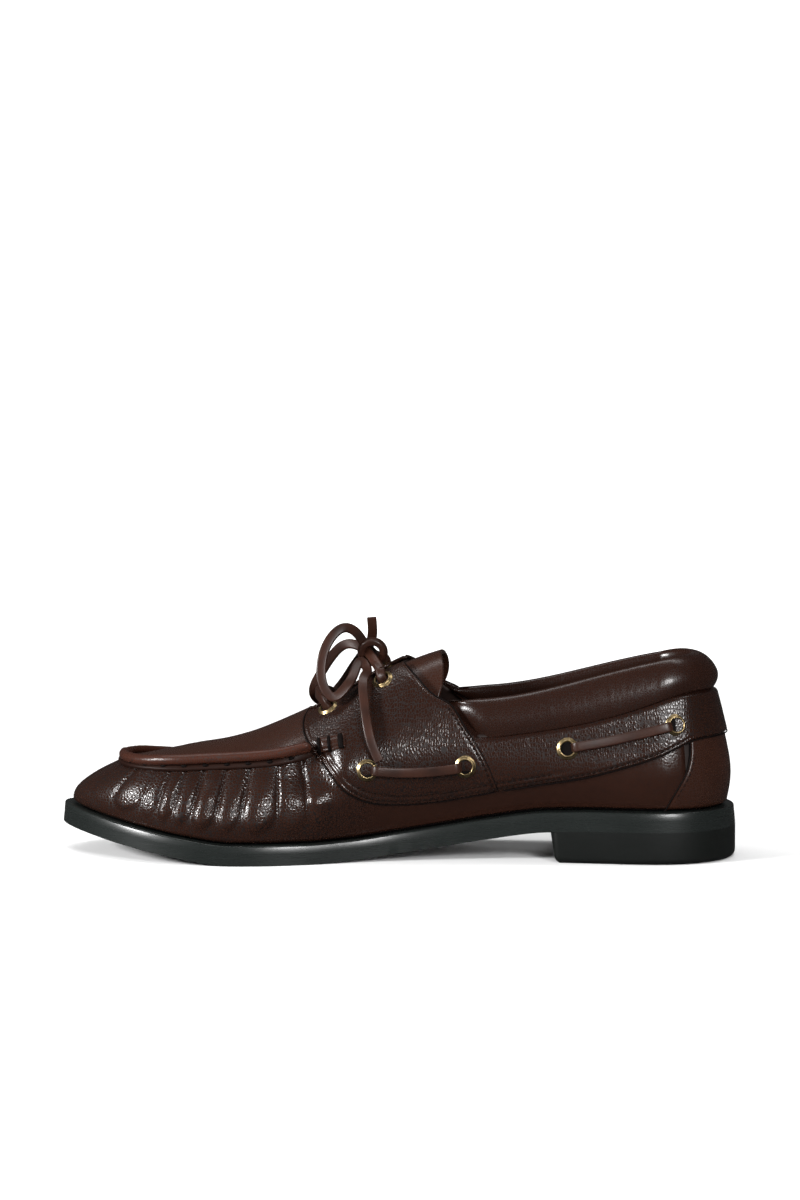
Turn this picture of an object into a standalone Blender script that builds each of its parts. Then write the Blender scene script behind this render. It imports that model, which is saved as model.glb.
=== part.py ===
"""Lace-up loafer for the right foot, in metres.

The toe points along -X, the heel along +X, the inner side of the foot along -Y, and +Z is up. The origin is
on the floor, under the middle of the shoe. Sizes are written in millimetres and scaled once, by MM.
"""

import math

import bmesh
import bpy
import numpy as np
from mathutils import Matrix, Vector

MM = 0.001
OBJECT = "loafer"

# Driving sizes, in millimetres.
SOLE_LENGTH = 298.0
HEEL_TIP = SOLE_LENGTH / 2
TOE_TIP = -SOLE_LENGTH / 2
GAP = 0.3
FACET_ROOM = 0.15
OUTSOLE_THICK = 5.2
WELT_THICK = 3.2
WELT_WIDTH = 7.0
WELT_SHOWS = 3.6
INSOLE_ABOVE_WELT = 2.0
INSOLE_CLEAR = 0.8
WALL = 2.0
HEEL_BREAST_X = 69.0
HEEL_BREAST_SLANT = 2.0
HEEL_BREAST_HOLLOW = 2.5
HEEL_CENTRE_X = 115.0
TOE_CENTRE_X = -84.0

# How the wall rises between feather and shoulder: control points as shares of its height and of its swell.
WALL_FOOT_RISE = 0.16
WALL_FOOT_SWELL = 0.3
WALL_MIDDLE_RISE = 0.42
WALL_MIDDLE_SWELL = 1.7
WALL_SHOULDER_RUN = 0.36
WALL_KNEE = 0.7
WALL_LEVELS = (0.0, 0.04, 0.16, 0.32, 0.48, 0.64, 0.82)
ABOVE_KNEE_LEVELS = (0.0, 0.25, 0.5, 0.75, 1.0)
TOP_LEVELS = (0.0, 0.16, 0.36, 0.62, 1.0)

# Apron: the flat plug on the vamp and the roll along its seam. The crease under the roll fades out behind it.
APRON_LENGTH = 36.5
APRON_SQUARENESS = 2.4
APRON_END_X = -35.0
CREASE_END_X = -20.0
CREASE_FADE = 22.0
ROLL_RADIUS = 2.2
ROLL_RISE = math.radians(52)

# Throat: the slit between the two wings of the saddle.
THROAT_FRONT_X = -41.0
THROAT_TOP_X = 2.0
THROAT_HALF = 10.0
SADDLE_FOOT_X = 37.0
SADDLE_BELOW_CROWN = 1.5

TONGUE_FRONT_X = -52.0
TONGUE_TOP_X = 18.0
TONGUE_THICK = 2.0
TONGUE_CLEAR = 1.7
TONGUE_HALF = 19.5
TONGUE_FLARE = 7.5
TONGUE_END = 12.0
TONGUE_SCOOP = 5.5
TONGUE_CORNER = 5.0

# The collar's section: half its thickness, where it is thickest, and how much fuller it is behind the heel.
COLLAR_FRONT_X = 25.0
COLLAR_FRONT_DROP = 0.8
COLLAR_TOP_HALF = 4.4
COLLAR_BACK_FULLER = 1.4
COLLAR_FULLEST = 0.52
COLLAR_SIDE_FLAT = 0.25
COLLAR_LEAN = 2.4
COLLAR_BACK_LEAN = 0.5
COLLAR_LEVELS = (0.0, 0.12, 0.3, 0.52, 0.74, 0.9, 0.98)

EYELET_OUTER = 4.8
EYELET_HOLE = 3.0
EYELET_BARREL = 3.35
EYELET_FLANGE = 1.0
LEATHER_HOLE = 3.7
LACE_RADIUS = 1.6
KNOT_RADIUS = 4.6

# A bar of the lace rests in its eyelets and hovers over the wall between them.
BAR_START = 0.05
BAR_END = 0.94
BAR_POINTS = 9
BAR_END_LIFT = 1.9
BAR_MIDDLE_DROP = 1.4
FRONT_BAR_SAG = 1.6
BACK_BAR_SAG = 0.6

# Outsole plan, between the round heel and the pointed toe: half widths to the inner and the outer side.
SOLE_PLAN_COLUMNS = ("x", "inner", "outer")
SOLE_PLAN = (
    (92.0, 32.6, 33.6),
    (67.0, 30.6, 33.8),
    (40.0, 28.2, 35.0),
    (15.0, 28.6, 38.2),
    (-10.0, 33.8, 42.6),
    (-32.0, 42.4, 47.2),
    (-55.0, 49.4, 50.6),
    (-73.0, 51.0, 50.0),
    (-92.0, 48.8, 45.8),
    (-110.0, 42.6, 39.4),
    (-126.0, 33.0, 30.4),
    (-138.0, 22.4, 20.6),
    (-146.0, 11.6, 9.6),
)
HEEL_ROUND = (116.0, 33.0)

# Outsole underside along its length: toe spring, forefoot flat, waist, heel seat.
SOLE_SIDE_COLUMNS = ("x", "underside")
SOLE_SIDE = (
    (-149.0, 12.6),
    (-131.0, 9.4),
    (-117.0, 6.9),
    (-106.0, 5.0),
    (-92.0, 2.7),
    (-68.0, 0.0),
    (-36.0, 0.0),
    (-18.0, 0.9),
    (3.0, 3.6),
    (19.0, 6.0),
    (41.0, 9.8),
    (68.0, 13.6),
    (90.0, 14.2),
    (149.0, 14.2),
)

# The last, in sections square to the shoe, and fanned round the heel and the toe. The crown is the height of
# the section's centre line, the shoulders are the heights where wall and top meet, lower on the outer side,
# inner and outer are their distances from the centre line, the bulges are how far the wall swells past the
# feather, and a higher power is a squarer top.
LAST_COLUMNS = (
    *("x", "crown", "inner_shoulder", "outer_shoulder", "inner", "outer", "inner_bulge", "outer_bulge"),
    "power",
)
LAST = (
    (-146.0, 40.0, 39.6, 38.6, 34.0, 34.5, 1.0, 1.0, 2.0),
    (-122.0, 41.6, 40.6, 37.4, 34.0, 34.5, 1.2, 1.2, 2.0),
    (-100.0, 44.6, 42.0, 36.6, 34.0, 34.5, 1.4, 1.6, 2.0),
    (-84.0, 48.5, 43.2, 37.4, 34.2, 35.0, 1.6, 2.0, 2.0),
    (-66.0, 53.2, 44.4, 39.4, 35.4, 37.2, 1.8, 2.2, 2.0),
    (-48.0, 60.6, 46.4, 42.6, 36.0, 38.6, 2.6, 2.4, 2.0),
    (-30.0, 69.4, 50.0, 47.4, 35.6, 38.4, 4.0, 2.4, 2.1),
    (-10.0, 81.3, 54.0, 53.0, 34.2, 37.0, 5.6, 2.4, 2.3),
    (10.0, 90.6, 56.0, 55.6, 32.8, 35.4, 6.6, 2.6, 2.6),
    (30.0, 96.5, 55.0, 55.0, 32.2, 34.2, 6.6, 3.0, 3.0),
    (60.0, 104.0, 52.0, 52.0, 32.4, 33.2, 5.6, 3.2, 3.4),
    (90.0, 109.0, 51.0, 51.0, 32.0, 32.0, 4.0, 3.2, 3.2),
    (115.0, 111.0, 51.0, 51.0, 31.0, 31.0, 3.2, 3.2, 2.8),
    (135.0, 111.0, 51.0, 51.0, 30.4, 30.4, 2.2, 2.2, 2.4),
    (146.0, 111.0, 51.0, 51.0, 30.2, 30.2, 1.8, 1.8, 2.3),
)

# The brow: how the skirt reaches the apron seam from below.
BROW_COLUMNS = ("x", "out", "down")
BROW = (
    (-146.0, 11.5, 4.6),
    (-122.0, 9.5, 6.4),
    (-100.0, 7.5, 8.6),
    (-84.0, 6.0, 9.5),
    (-48.0, 4.0, 10.0),
    (-20.0, 2.5, 11.0),
)

# The collar's lower edge and top, behind the saddle.
COLLAR_COLUMNS = ("x", "groove", "inner_top", "outer_top")
COLLAR = (
    (25.0, 56.0, 71.0, 70.6),
    (37.0, 54.8, 71.4, 71.0),
    (50.0, 56.0, 72.8, 72.4),
    (67.0, 58.4, 76.2, 75.8),
    (84.0, 61.6, 80.6, 80.2),
    (108.0, 68.2, 86.6, 86.2),
    (125.0, 73.4, 89.6, 89.2),
    (137.0, 74.6, 90.0, 90.0),
    (146.0, 74.6, 90.0, 90.0),
)

# Eyelets of one side: those in the wall have x and height, those on top have x and distance from the middle.
WALL_EYELET_COLUMNS = ("name", "x", "height")
WALL_EYELETS = (
    ("side_1", -10.5, 41.2),
    ("side_2", 32.0, 42.6),
    ("side_3", 76.5, 50.8),
    ("side_4", 123.5, 61.0),
)
THROAT_EYELET_COLUMNS = ("name", "x", "aside")
THROAT_EYELETS = (("throat_low", -29.6, 16.8), ("throat_top", -5.5, 16.8))

# Where the sections are cut: closer together round the saddle's corners and the front of the throat.
SECTION_PLACES = (
    *(HEEL_CENTRE_X, 102.0, 89.0, 76.0, 63.0, 50.0, SADDLE_FOOT_X, 31.0, 25.0, 18.0, 10.0, 6.0, THROAT_TOP_X),
    *(-8.0, -18.0, -27.0, -31.0, -35.0, -38.5, THROAT_FRONT_X, -52.0, -63.0, -74.0, TOE_CENTRE_X),
)
HEEL_FAN_STEPS = 6
TOE_FAN_STEPS = 9

# The sole's ribs: even along the middle, and closer over the reach of each tip.
MIDDLE_RIBS = 22
TIP_RIBS = 6
TIP_REACH = 22.0
TIP_FIRST_TURN = 0.12
HEEL_RIBS = 7
HEEL_TIP_REACH = 20.0
HEEL_ACROSS = 6
EYELET_STEPS = 12
TONGUE_ACROSS = 10

# The lace over the throat: the low crossing, the knot with its strands from the top eyelets, and the bow.
LOW_CROSSING = (
    (-31.0, -17.5, 68.6),
    (-34.0, -10.0, 70.2),
    (-35.5, 0.0, 70.6),
    (-34.0, 10.0, 70.2),
    (-31.0, 17.5, 68.6),
)
KNOT = (
    (-6.8, -16.2, 82.6),
    (-9.0, -12.0, 85.2),
    (-12.0, -6.5, 88.0),
    (-13.0, -3.0, 88.6),
    (-12.5, 1.0, 88.4),
    (-10.5, 7.0, 86.2),
    (-8.4, 12.0, 84.8),
    (-6.8, 16.2, 83.2),
)
KNOT_MIDDLE = 3
INNER_LOOP = (
    (-14.4, -4.6, 92.5),
    (-18.0, -7.6, 98.0),
    (-22.8, -11.0, 100.4),
    (-29.0, -14.5, 95.4),
    (-32.3, -18.5, 84.5),
    (-30.8, -21.0, 75.0),
    (-26.9, -22.0, 71.0),
    (-21.6, -19.5, 75.0),
    (-18.4, -14.0, 80.4),
    (-15.6, -8.0, 85.0),
)
INNER_END = (
    (-13.2, -10.6, 83.0),
    (-13.4, -20.0, 79.5),
    (-12.8, -28.0, 71.5),
    (-11.0, -34.5, 62.0),
    (-8.0, -38.6, 51.5),
    (-5.0, -40.4, 45.5),
)
OUTER_BOW = (
    (-16.1, -0.4, 90.4),
    (-22.5, 4.6, 91.4),
    (-30.0, 11.0, 85.5),
    (-36.5, 17.5, 75.5),
    (-39.5, 23.0, 66.5),
    (-36.0, 28.5, 63.0),
    (-29.0, 27.0, 68.5),
    (-22.0, 19.5, 78.5),
    (-16.0, 10.5, 87.0),
    (-12.5, 6.0, 92.8),
    (-11.6, 3.0, 97.5),
    (-11.8, 1.0, 103.5),
)

INNER, OUTER = -1, 1
SIDES = {"inner": INNER, "outer": OUTER}

COLOURS = {
    "leather": ((0.055, 0.026, 0.019), 0.32, 0.0),
    "rolled_leather": ((0.105, 0.045, 0.033), 0.38, 0.0),
    "lining": ((0.035, 0.020, 0.016), 0.70, 0.0),
    "sole": ((0.012, 0.013, 0.012), 0.28, 0.0),
    "brass": ((0.50, 0.34, 0.12), 0.35, 1.0),
    "lace": ((0.085, 0.040, 0.030), 0.45, 0.0),
}


# Curves through short tables.


def smooth(knots, values):
    """The natural cubic curve through the values, as a function that stays level past the curve's ends."""
    knots, values = np.asarray(knots, float), np.asarray(values, float)
    step = np.diff(knots)
    rise = np.diff(values) / step
    last = len(knots) - 1
    system = np.eye(last + 1)
    load = np.zeros(last + 1)
    for i in range(1, last):
        system[i, i - 1 : i + 2] = step[i - 1], 2 * (step[i - 1] + step[i]), step[i]
        load[i] = 6 * (rise[i] - rise[i - 1])
    bend = np.linalg.solve(system, load)

    def curve(at):
        at = np.clip(at, knots[0], knots[-1])
        i = np.clip(np.searchsorted(knots, at, side="right") - 1, 0, last - 1)
        ahead, behind, run = knots[i + 1] - at, at - knots[i], step[i]
        cubic = (bend[i] * ahead**3 + bend[i + 1] * behind**3) / (6 * run)
        line = (values[i] / run - bend[i] * run / 6) * ahead
        line += (values[i + 1] / run - bend[i + 1] * run / 6) * behind
        return cubic + line

    return curve


def level(knots, values):
    """A cubic curve through the values that never overshoots them, so that a flat stretch stays flat."""
    knots, values = np.asarray(knots, float), np.asarray(values, float)
    step = np.diff(knots)
    rise = np.diff(values) / step
    slope = np.array([rise[0], *(0.0 for _ in rise[1:]), rise[-1]])
    for i in range(1, len(rise)):
        if rise[i - 1] * rise[i] > 0:
            slope[i] = 2 * rise[i - 1] * rise[i] / (rise[i - 1] + rise[i])

    def curve(at):
        at = np.clip(at, knots[0], knots[-1])
        i = np.clip(np.searchsorted(knots, at, side="right") - 1, 0, len(step) - 1)
        t = (at - knots[i]) / step[i]
        start = (1 + 2 * t) * (1 - t) ** 2 * values[i] + t * (1 - t) ** 2 * step[i] * slope[i]
        return start + t * t * (3 - 2 * t) * values[i + 1] + t * t * (t - 1) * step[i] * slope[i + 1]

    return curve


def column(columns, rows, name, curve=smooth):
    """One column of a table as a function of x."""
    table = np.array(sorted(rows), float)
    return curve(table[:, 0], table[:, columns.index(name)])


underside = column(SOLE_SIDE_COLUMNS, SOLE_SIDE, "underside", level)
crown = column(LAST_COLUMNS, LAST, "crown")
shoulder = {side: column(LAST_COLUMNS, LAST, name + "_shoulder") for name, side in SIDES.items()}
power = column(LAST_COLUMNS, LAST, "power")
reach = {side: column(LAST_COLUMNS, LAST, name) for name, side in SIDES.items()}
bulge = {side: column(LAST_COLUMNS, LAST, name + "_bulge") for name, side in SIDES.items()}
brow_out = column(BROW_COLUMNS, BROW, "out")
brow_down = column(BROW_COLUMNS, BROW, "down")
groove = column(COLLAR_COLUMNS, COLLAR, "groove")
collar_top = {side: column(COLLAR_COLUMNS, COLLAR, name + "_top") for name, side in SIDES.items()}


def outsole_top(x):
    return underside(x) + OUTSOLE_THICK


def welt_top(x):
    return outsole_top(x) + GAP + WELT_THICK


def insole_top(x):
    return welt_top(x) + INSOLE_ABOVE_WELT


def sole_outline():
    """The sole's edge as a dense closed line, from the heel's back along the inner side and round the toe."""
    centre, half = HEEL_ROUND
    bends = [math.radians(a) for a in (25, 50, 75)]
    inner = [(centre + (HEEL_TIP - centre) * math.cos(a), -half * math.sin(a)) for a in bends]
    outer = [(x, -y) for x, y in inner]
    inner += [(x, -inside) for x, inside, _ in SOLE_PLAN]
    outer += [(x, outside) for x, _, outside in SOLE_PLAN]
    knots = np.array([(HEEL_TIP, 0.0), *inner, (TOE_TIP, -0.8), *outer[::-1]])
    wrap = 4
    ring = np.vstack([knots[-wrap:], knots, knots[: wrap + 1]])
    along = np.concatenate([[0], np.cumsum(np.linalg.norm(np.diff(ring, axis=0), axis=1))])
    at = np.linspace(along[wrap], along[wrap + len(knots)], 1600, endpoint=False)
    return np.stack([smooth(along, ring[:, 0])(at), smooth(along, ring[:, 1])(at)], axis=1)


def inset_outline(distance):
    """The sole's edge moved inwards."""
    edge = sole_outline()
    ahead = np.roll(edge, -1, axis=0) - np.roll(edge, 1, axis=0)
    ahead /= np.linalg.norm(ahead, axis=1)[:, None]
    return edge + distance * np.stack([ahead[:, 1], -ahead[:, 0]], axis=1)


def half_width(outline, side):
    """The outline's distance from the centre line on one side, as a function of x."""
    half = outline[outline[:, 1] * side > 0]
    half = half[np.argsort(half[:, 0])]
    return lambda x: np.interp(x, half[:, 0], np.abs(half[:, 1]), left=0.0, right=0.0)


FEATHER = inset_outline(WELT_SHOWS)


# The last's surface, column by column. A column is a half section: a centre on the middle line and a
# direction, square to the shoe along its length and fanned round the heel and the toe.


def fan_radius(centre_x, angle, side, outline):
    """How far the outline is from a centre on the middle line, in a direction turned from +X."""
    half = outline[outline[:, 1] * side >= -0.5]
    turn = np.arctan2(np.abs(half[:, 1]) * np.sign(half[:, 1] * side), half[:, 0] - centre_x)
    order = np.argsort(turn)
    radius = np.hypot(half[:, 0] - centre_x, half[:, 1])
    return float(np.interp(angle, turn[order], radius[order]))


def apron_radius(angle, side):
    """The apron seam's distance from the toe centre: a squarish oval, as wide as the last's shoulder."""
    wide = float(reach[side](TOE_CENTRE_X))
    along, across = abs(math.cos(angle)) / APRON_LENGTH, abs(math.sin(angle)) / wide
    return (along**APRON_SQUARENESS + across**APRON_SQUARENESS) ** (-1 / APRON_SQUARENESS)


class Section:
    """A half section of the last."""

    def __init__(self, centre_x, angle, side):
        self.centre_x, self.angle, self.side = centre_x, angle, side
        self.ahead, self.aside = math.cos(angle), math.sin(angle) * side
        self.foot = fan_radius(centre_x, angle, side, FEATHER)
        self.foot_x = centre_x + self.foot * self.ahead
        self.foot_z = float(welt_top(self.foot_x)) + GAP + FACET_ROOM
        toe_fan = centre_x <= TOE_CENTRE_X and self.ahead < -1e-6
        self.edge = apron_radius(angle, side) if toe_fan else float(reach[side](self.foot_x))
        self.edge_z = self.top_z(self.edge)

    def top_z(self, radius):
        """The height of the top surface at this distance from the centre line."""
        x = self.centre_x + radius * self.ahead
        y = radius * abs(self.aside)
        if self.ahead > 1e-6:
            x, y = self.foot_x, radius
        half, high = float(reach[self.side](x)), float(crown(x))
        return high - (high - float(shoulder[self.side](x))) * (y / half) ** float(power(x))

    def wall(self, t):
        """The wall from the feather, t = 0, to the shoulder, t = 1: (radius, height)."""
        high = self.edge_z - self.foot_z
        swell = float(bulge[self.side](self.foot_x))
        slope = (self.top_z(self.edge - 0.5) - self.edge_z) / 0.5
        tangent = Vector((1.0, -slope)).normalized() * WALL_SHOULDER_RUN * high
        brow = Vector((float(brow_out(self.foot_x)), -float(brow_down(self.foot_x))))
        crease = min(max((CREASE_END_X - self.foot_x) / CREASE_FADE, 0.0), 1.0)
        crease = crease * crease * (3 - 2 * crease)
        top = Vector((self.edge, self.edge_z))
        points = (
            Vector((self.foot, self.foot_z)),
            Vector((self.foot + WALL_FOOT_SWELL * swell, self.foot_z + WALL_FOOT_RISE * high)),
            Vector((self.foot + WALL_MIDDLE_SWELL * swell, self.foot_z + WALL_MIDDLE_RISE * high)),
            top + tangent.lerp(brow, crease),
            top,
        )
        steps = len(points) - 1
        place = Vector((0.0, 0.0))
        for i, point in enumerate(points):
            place += math.comb(steps, i) * t**i * (1 - t) ** (steps - i) * point
        return place.x, place.y

    def top(self, height):
        """The distance from the centre line where the top surface has this height."""
        low, high = 0.0, self.edge
        for _ in range(40):
            middle = (low + high) / 2
            low, high = (middle, high) if self.top_z(middle) > height else (low, middle)
        return (low + high) / 2

    def at_height(self, height):
        """(radius, height) on the wall or the top surface."""
        if height >= self.edge_z:
            return self.top(height), height
        low, high = 0.0, 1.0
        for _ in range(40):
            middle = (low + high) / 2
            low, high = (low, middle) if self.wall(middle)[1] > height else (middle, high)
        return self.wall(low)

    def point(self, radius, height):
        return Vector((self.centre_x + radius * self.ahead, radius * self.aside, height))


def sections(side):
    """The half sections of one side, from the heel's back to the tip of the toe."""
    quarter = math.pi / 2
    found = [Section(HEEL_CENTRE_X, quarter * i / HEEL_FAN_STEPS, side) for i in range(HEEL_FAN_STEPS)]
    found += [Section(x, quarter, side) for x in SECTION_PLACES]
    for i in range(1, TOE_FAN_STEPS + 1):
        found.append(Section(TOE_CENTRE_X, quarter * (1 + i / TOE_FAN_STEPS), side))
    return found


def throat_half(x):
    """Half the throat's width, round at its front end."""
    if x <= THROAT_FRONT_X:
        return 0.0
    run = min((x - THROAT_FRONT_X) / THROAT_HALF, 1.0)
    return THROAT_HALF * math.sqrt(1 - (1 - run) ** 2)


def saddle_edge(x):
    """The height of the saddle's back edge, which runs down to the collar's groove."""
    run = (x - THROAT_TOP_X) / (SADDLE_FOOT_X - THROAT_TOP_X)
    high = float(crown(THROAT_TOP_X)) - SADDLE_BELOW_CROWN
    return high + (float(groove(SADDLE_FOOT_X)) - high) * run


def upper_ends_at(section):
    """(radius, height) where the upper's wall ends in this section: throat, saddle edge or collar groove."""
    x = section.foot_x
    if section.ahead < -1e-6 or x <= THROAT_TOP_X:
        radius = throat_half(x) if section.ahead >= -1e-6 else 0.0
        return radius, section.top_z(radius)
    height = saddle_edge(x) if x < SADDLE_FOOT_X else float(groove(x))
    return section.at_height(height)


# Building meshes.


def new_material(name):
    colour, roughness, metallic = COLOURS[name]
    material = bpy.data.materials.get(name) or bpy.data.materials.new(name)
    material.use_nodes = True
    shader = material.node_tree.nodes["Principled BSDF"]
    shader.inputs["Base Color"].default_value = (*colour, 1.0)
    shader.inputs["Roughness"].default_value = roughness
    shader.inputs["Metallic"].default_value = metallic
    return material


def add_object(name, mesh, material, collection):
    piece = bpy.data.objects.new(name, mesh)
    collection.objects.link(piece)
    mesh.materials.append(new_material(material))
    return piece


def finish_mesh(name, shape):
    """A mesh in metres from a bmesh in millimetres, its faces turned outwards."""
    bmesh.ops.remove_doubles(shape, verts=shape.verts, dist=1e-3)
    bmesh.ops.dissolve_degenerate(shape, edges=shape.edges, dist=1e-4)
    bmesh.ops.recalc_face_normals(shape, faces=shape.faces)
    bmesh.ops.scale(shape, verts=shape.verts, vec=(MM, MM, MM))
    mesh = bpy.data.meshes.new(name)
    shape.to_mesh(mesh)
    shape.free()
    mesh.shade_smooth()
    return mesh


def join_rows(shape, first, second, closed):
    count = len(first)
    for i in range(count if closed else count - 1):
        j = (i + 1) % count
        corners = [first[i], first[j], second[j], second[i]]
        distinct = []
        for corner in corners:
            if all((corner.co - other.co).length > 1e-4 for other in distinct):
                distinct.append(corner)
        if len(distinct) > 2:
            shape.faces.new(distinct)


def loft(name, rings, cyclic=False):
    """A closed body through closed rings of points, capped at both ends unless the rings form a loop."""
    shape = bmesh.new()
    rows = [[shape.verts.new(point) for point in ring] for ring in rings]
    for first, second in zip(rows, rows[1:]):
        join_rows(shape, first, second, True)
    if cyclic:
        join_rows(shape, rows[-1], rows[0], True)
    else:
        shape.faces.new(rows[0])
        shape.faces.new(rows[-1][::-1])
    return finish_mesh(name, shape)


def rib_places(start, end):
    """Places along x, evenly spaced, and closer towards both tips, where the outline turns."""
    turn = np.linspace(TIP_FIRST_TURN, math.pi / 2, TIP_RIBS)
    near_start = start + TIP_REACH * (1 - np.cos(turn))
    near_end = end - TIP_REACH * (1 - np.cos(turn))
    middle = np.linspace(start + TIP_REACH, end - TIP_REACH, MIDDLE_RIBS)[1:-1]
    return [*near_start, *middle, *near_end[::-1]]


def plate(name, outline, bottom, top):
    """A plate with this outline in plan, between two heights that change along x."""
    inner, outer = half_width(outline, INNER), half_width(outline, OUTER)
    rings = []
    for x in rib_places(outline[:, 0].min(), outline[:, 0].max()):
        low, high = float(bottom(x)), float(top(x))
        left, right = -float(inner(x)), float(outer(x))
        lower = [(x, y, low) for y in (left, 0.0, right)]
        upper = [(x, y, high) for y in (right, 0.0, left)]
        rings.append(lower + upper)
    return loft(name, rings)


def build_sole(parts):
    outline = inset_outline(0.0)
    mesh = plate("outsole", outline, underside, outsole_top)
    add_object("outsole", mesh, "sole", parts)

    edges = {side: half_width(outline, side) for side in (INNER, OUTER)}
    insides = inset_outline(WELT_WIDTH)
    dense = sole_outline()
    places = rib_places(TOE_TIP, HEEL_TIP)
    ring_points = []
    for side, xs in ((INNER, places[::-1]), (OUTER, places)):
        for x in xs:
            ring_points.append((x, side * float(edges[side](x))))
    rings = []
    for x, y in ring_points:
        nearest = int(np.argmin(np.hypot(dense[:, 0] - x, dense[:, 1] - y)))
        inside_x, inside_y = insides[nearest]
        low, low_inside = float(outsole_top(x)) + GAP, float(outsole_top(inside_x)) + GAP
        rings.append(
            [
                (x, y, low),
                (x, y, low + WELT_THICK),
                (inside_x, inside_y, low_inside + WELT_THICK),
                (inside_x, inside_y, low_inside),
            ]
        )
    add_object("welt", loft("welt", rings, cyclic=True), "sole", parts)

    insole_plan = inset_outline(WELT_WIDTH + INSOLE_CLEAR)
    mesh = plate("insole", insole_plan, lambda x: outsole_top(x) + GAP + FACET_ROOM, insole_top)
    add_object("insole", mesh, "lining", parts)

    add_object("heel", heel_mesh(outline), "sole", parts)


def heel_mesh(outline):
    """The heel block: flush with the sole's edge, with a slightly hollow breast."""
    inner, outer = half_width(outline, INNER), half_width(outline, OUTER)
    turn = np.linspace(TIP_FIRST_TURN, math.pi / 2, HEEL_RIBS)
    back = HEEL_TIP - HEEL_TIP_REACH * (1 - np.cos(turn))
    places = [*np.linspace(HEEL_BREAST_X, HEEL_TIP - HEEL_TIP_REACH, HEEL_RIBS)[:-1], *back[::-1]]
    rings = []
    for number, x in enumerate(places):
        low, high = [], []
        for i in range(HEEL_ACROSS + 1):
            side = 2 * i / HEEL_ACROSS - 1
            y = side * float(inner(x) if side < 0 else outer(x))
            hollow = HEEL_BREAST_HOLLOW * (1 - side**2) if number == 0 else 0.0
            slant = HEEL_BREAST_SLANT if number == 0 else 0.0
            low.append((x + hollow + slant, y, 0.0))
            high.append((x + hollow, y, float(underside(x + hollow)) - GAP))
        rings.append(low + high[::-1])
    return loft("heel", rings)


def upper_rows(side):
    """The upper's outer surface on one side: a row of points for each section, feather first."""
    rows = []
    for section in sections(side):
        end_radius, end_z = upper_ends_at(section)
        knee_z = min(section.edge_z, section.foot_z + WALL_KNEE * (end_z - section.foot_z))
        row = []
        for share in WALL_LEVELS:
            height = section.foot_z + share * (knee_z - section.foot_z)
            row.append(section.point(*section.at_height(height)))
        if knee_z < section.edge_z:
            heights = [knee_z + share * (end_z - knee_z) for share in ABOVE_KNEE_LEVELS]
            row += [section.point(*section.at_height(height)) for height in heights]
        else:
            for share in TOP_LEVELS:
                radius = section.edge + (end_radius - section.edge) * share
                row.append(section.point(radius, section.top_z(radius)))
        rows.append(row)
    return rows


def build_upper(parts, cutters):
    shape = bmesh.new()
    for side in (INNER, OUTER):
        rows = [[shape.verts.new(point) for point in row] for row in upper_rows(side)]
        for first, second in zip(rows, rows[1:]):
            join_rows(shape, first, second, False)
    upper = add_object("upper", finish_mesh("upper", shape), "leather", parts)
    wall = upper.modifiers.new("wall", "SOLIDIFY")
    wall.thickness = WALL * MM
    wall.offset = -1.0
    wall.use_even_offset = True
    holes = upper.modifiers.new("eyelet holes", "BOOLEAN")
    holes.operation = "DIFFERENCE"
    holes.object = hole_cutters(cutters)
    return upper


def section_at(x, height, side):
    """The section whose outer surface passes x at this height."""
    if x <= HEEL_CENTRE_X:
        return Section(x, math.pi / 2, side)
    low, high = 0.0, math.pi / 2
    for _ in range(40):
        middle = (low + high) / 2
        section = Section(HEEL_CENTRE_X, middle, side)
        reached = HEEL_CENTRE_X + section.at_height(height)[0] * section.ahead
        low, high = (middle, high) if reached > x else (low, middle)
    return section


def on_wall(x, height, side):
    """The point of the wall at x and this height."""
    section = section_at(x, height, side)
    return section.point(*section.at_height(height))


def on_top(x, aside, side):
    """The point of the top surface at x, this far from the centre line."""
    section = Section(x, math.pi / 2, side)
    return section.point(aside, section.top_z(aside))


def outward(place, along):
    """The unit normal of the surface, from two neighbours of a point, away from the foot."""
    normal = (along[0] - place).cross(along[1] - place).normalized()
    foot = Vector((place.x, 0.0, 30.0))
    return normal if normal.dot(place - foot) > 0 else -normal


def eyelet_places():
    """Each eyelet's name, place and outward direction."""
    places = {}
    for word, side in SIDES.items():
        for name, x, height in WALL_EYELETS:
            place = on_wall(x, height, side)
            near = on_wall(x + 1.0, height, side), on_wall(x, height + 1.0, side)
            places[f"eyelet_{word}_{name}"] = place, outward(place, near)
        for name, x, aside in THROAT_EYELETS:
            place = on_top(x, aside, side)
            near = on_top(x + 1.0, aside, side), on_top(x, aside + 1.0, side)
            places[f"eyelet_{word}_{name}"] = place, outward(place, near)
    return places


def facing(normal):
    return Vector((0, 0, 1)).rotation_difference(normal).to_matrix().to_4x4()


def hole_cutters(cutters):
    """One mesh of plugs, which cut the holes that the eyelets' barrels pass through."""
    shape = bmesh.new()
    for place, normal in eyelet_places().values():
        bmesh.ops.create_cone(
            shape,
            cap_ends=True,
            segments=EYELET_STEPS,
            radius1=LEATHER_HOLE,
            radius2=LEATHER_HOLE,
            depth=3 * WALL + 4.0,
            matrix=Matrix.Translation(place - normal * WALL / 2) @ facing(normal),
        )
    cutter = add_object("eyelet_hole_cutters", finish_mesh("eyelet_hole_cutters", shape), "brass", cutters)
    cutter.hide_render = True
    cutter.display_type = "WIRE"
    return cutter


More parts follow.
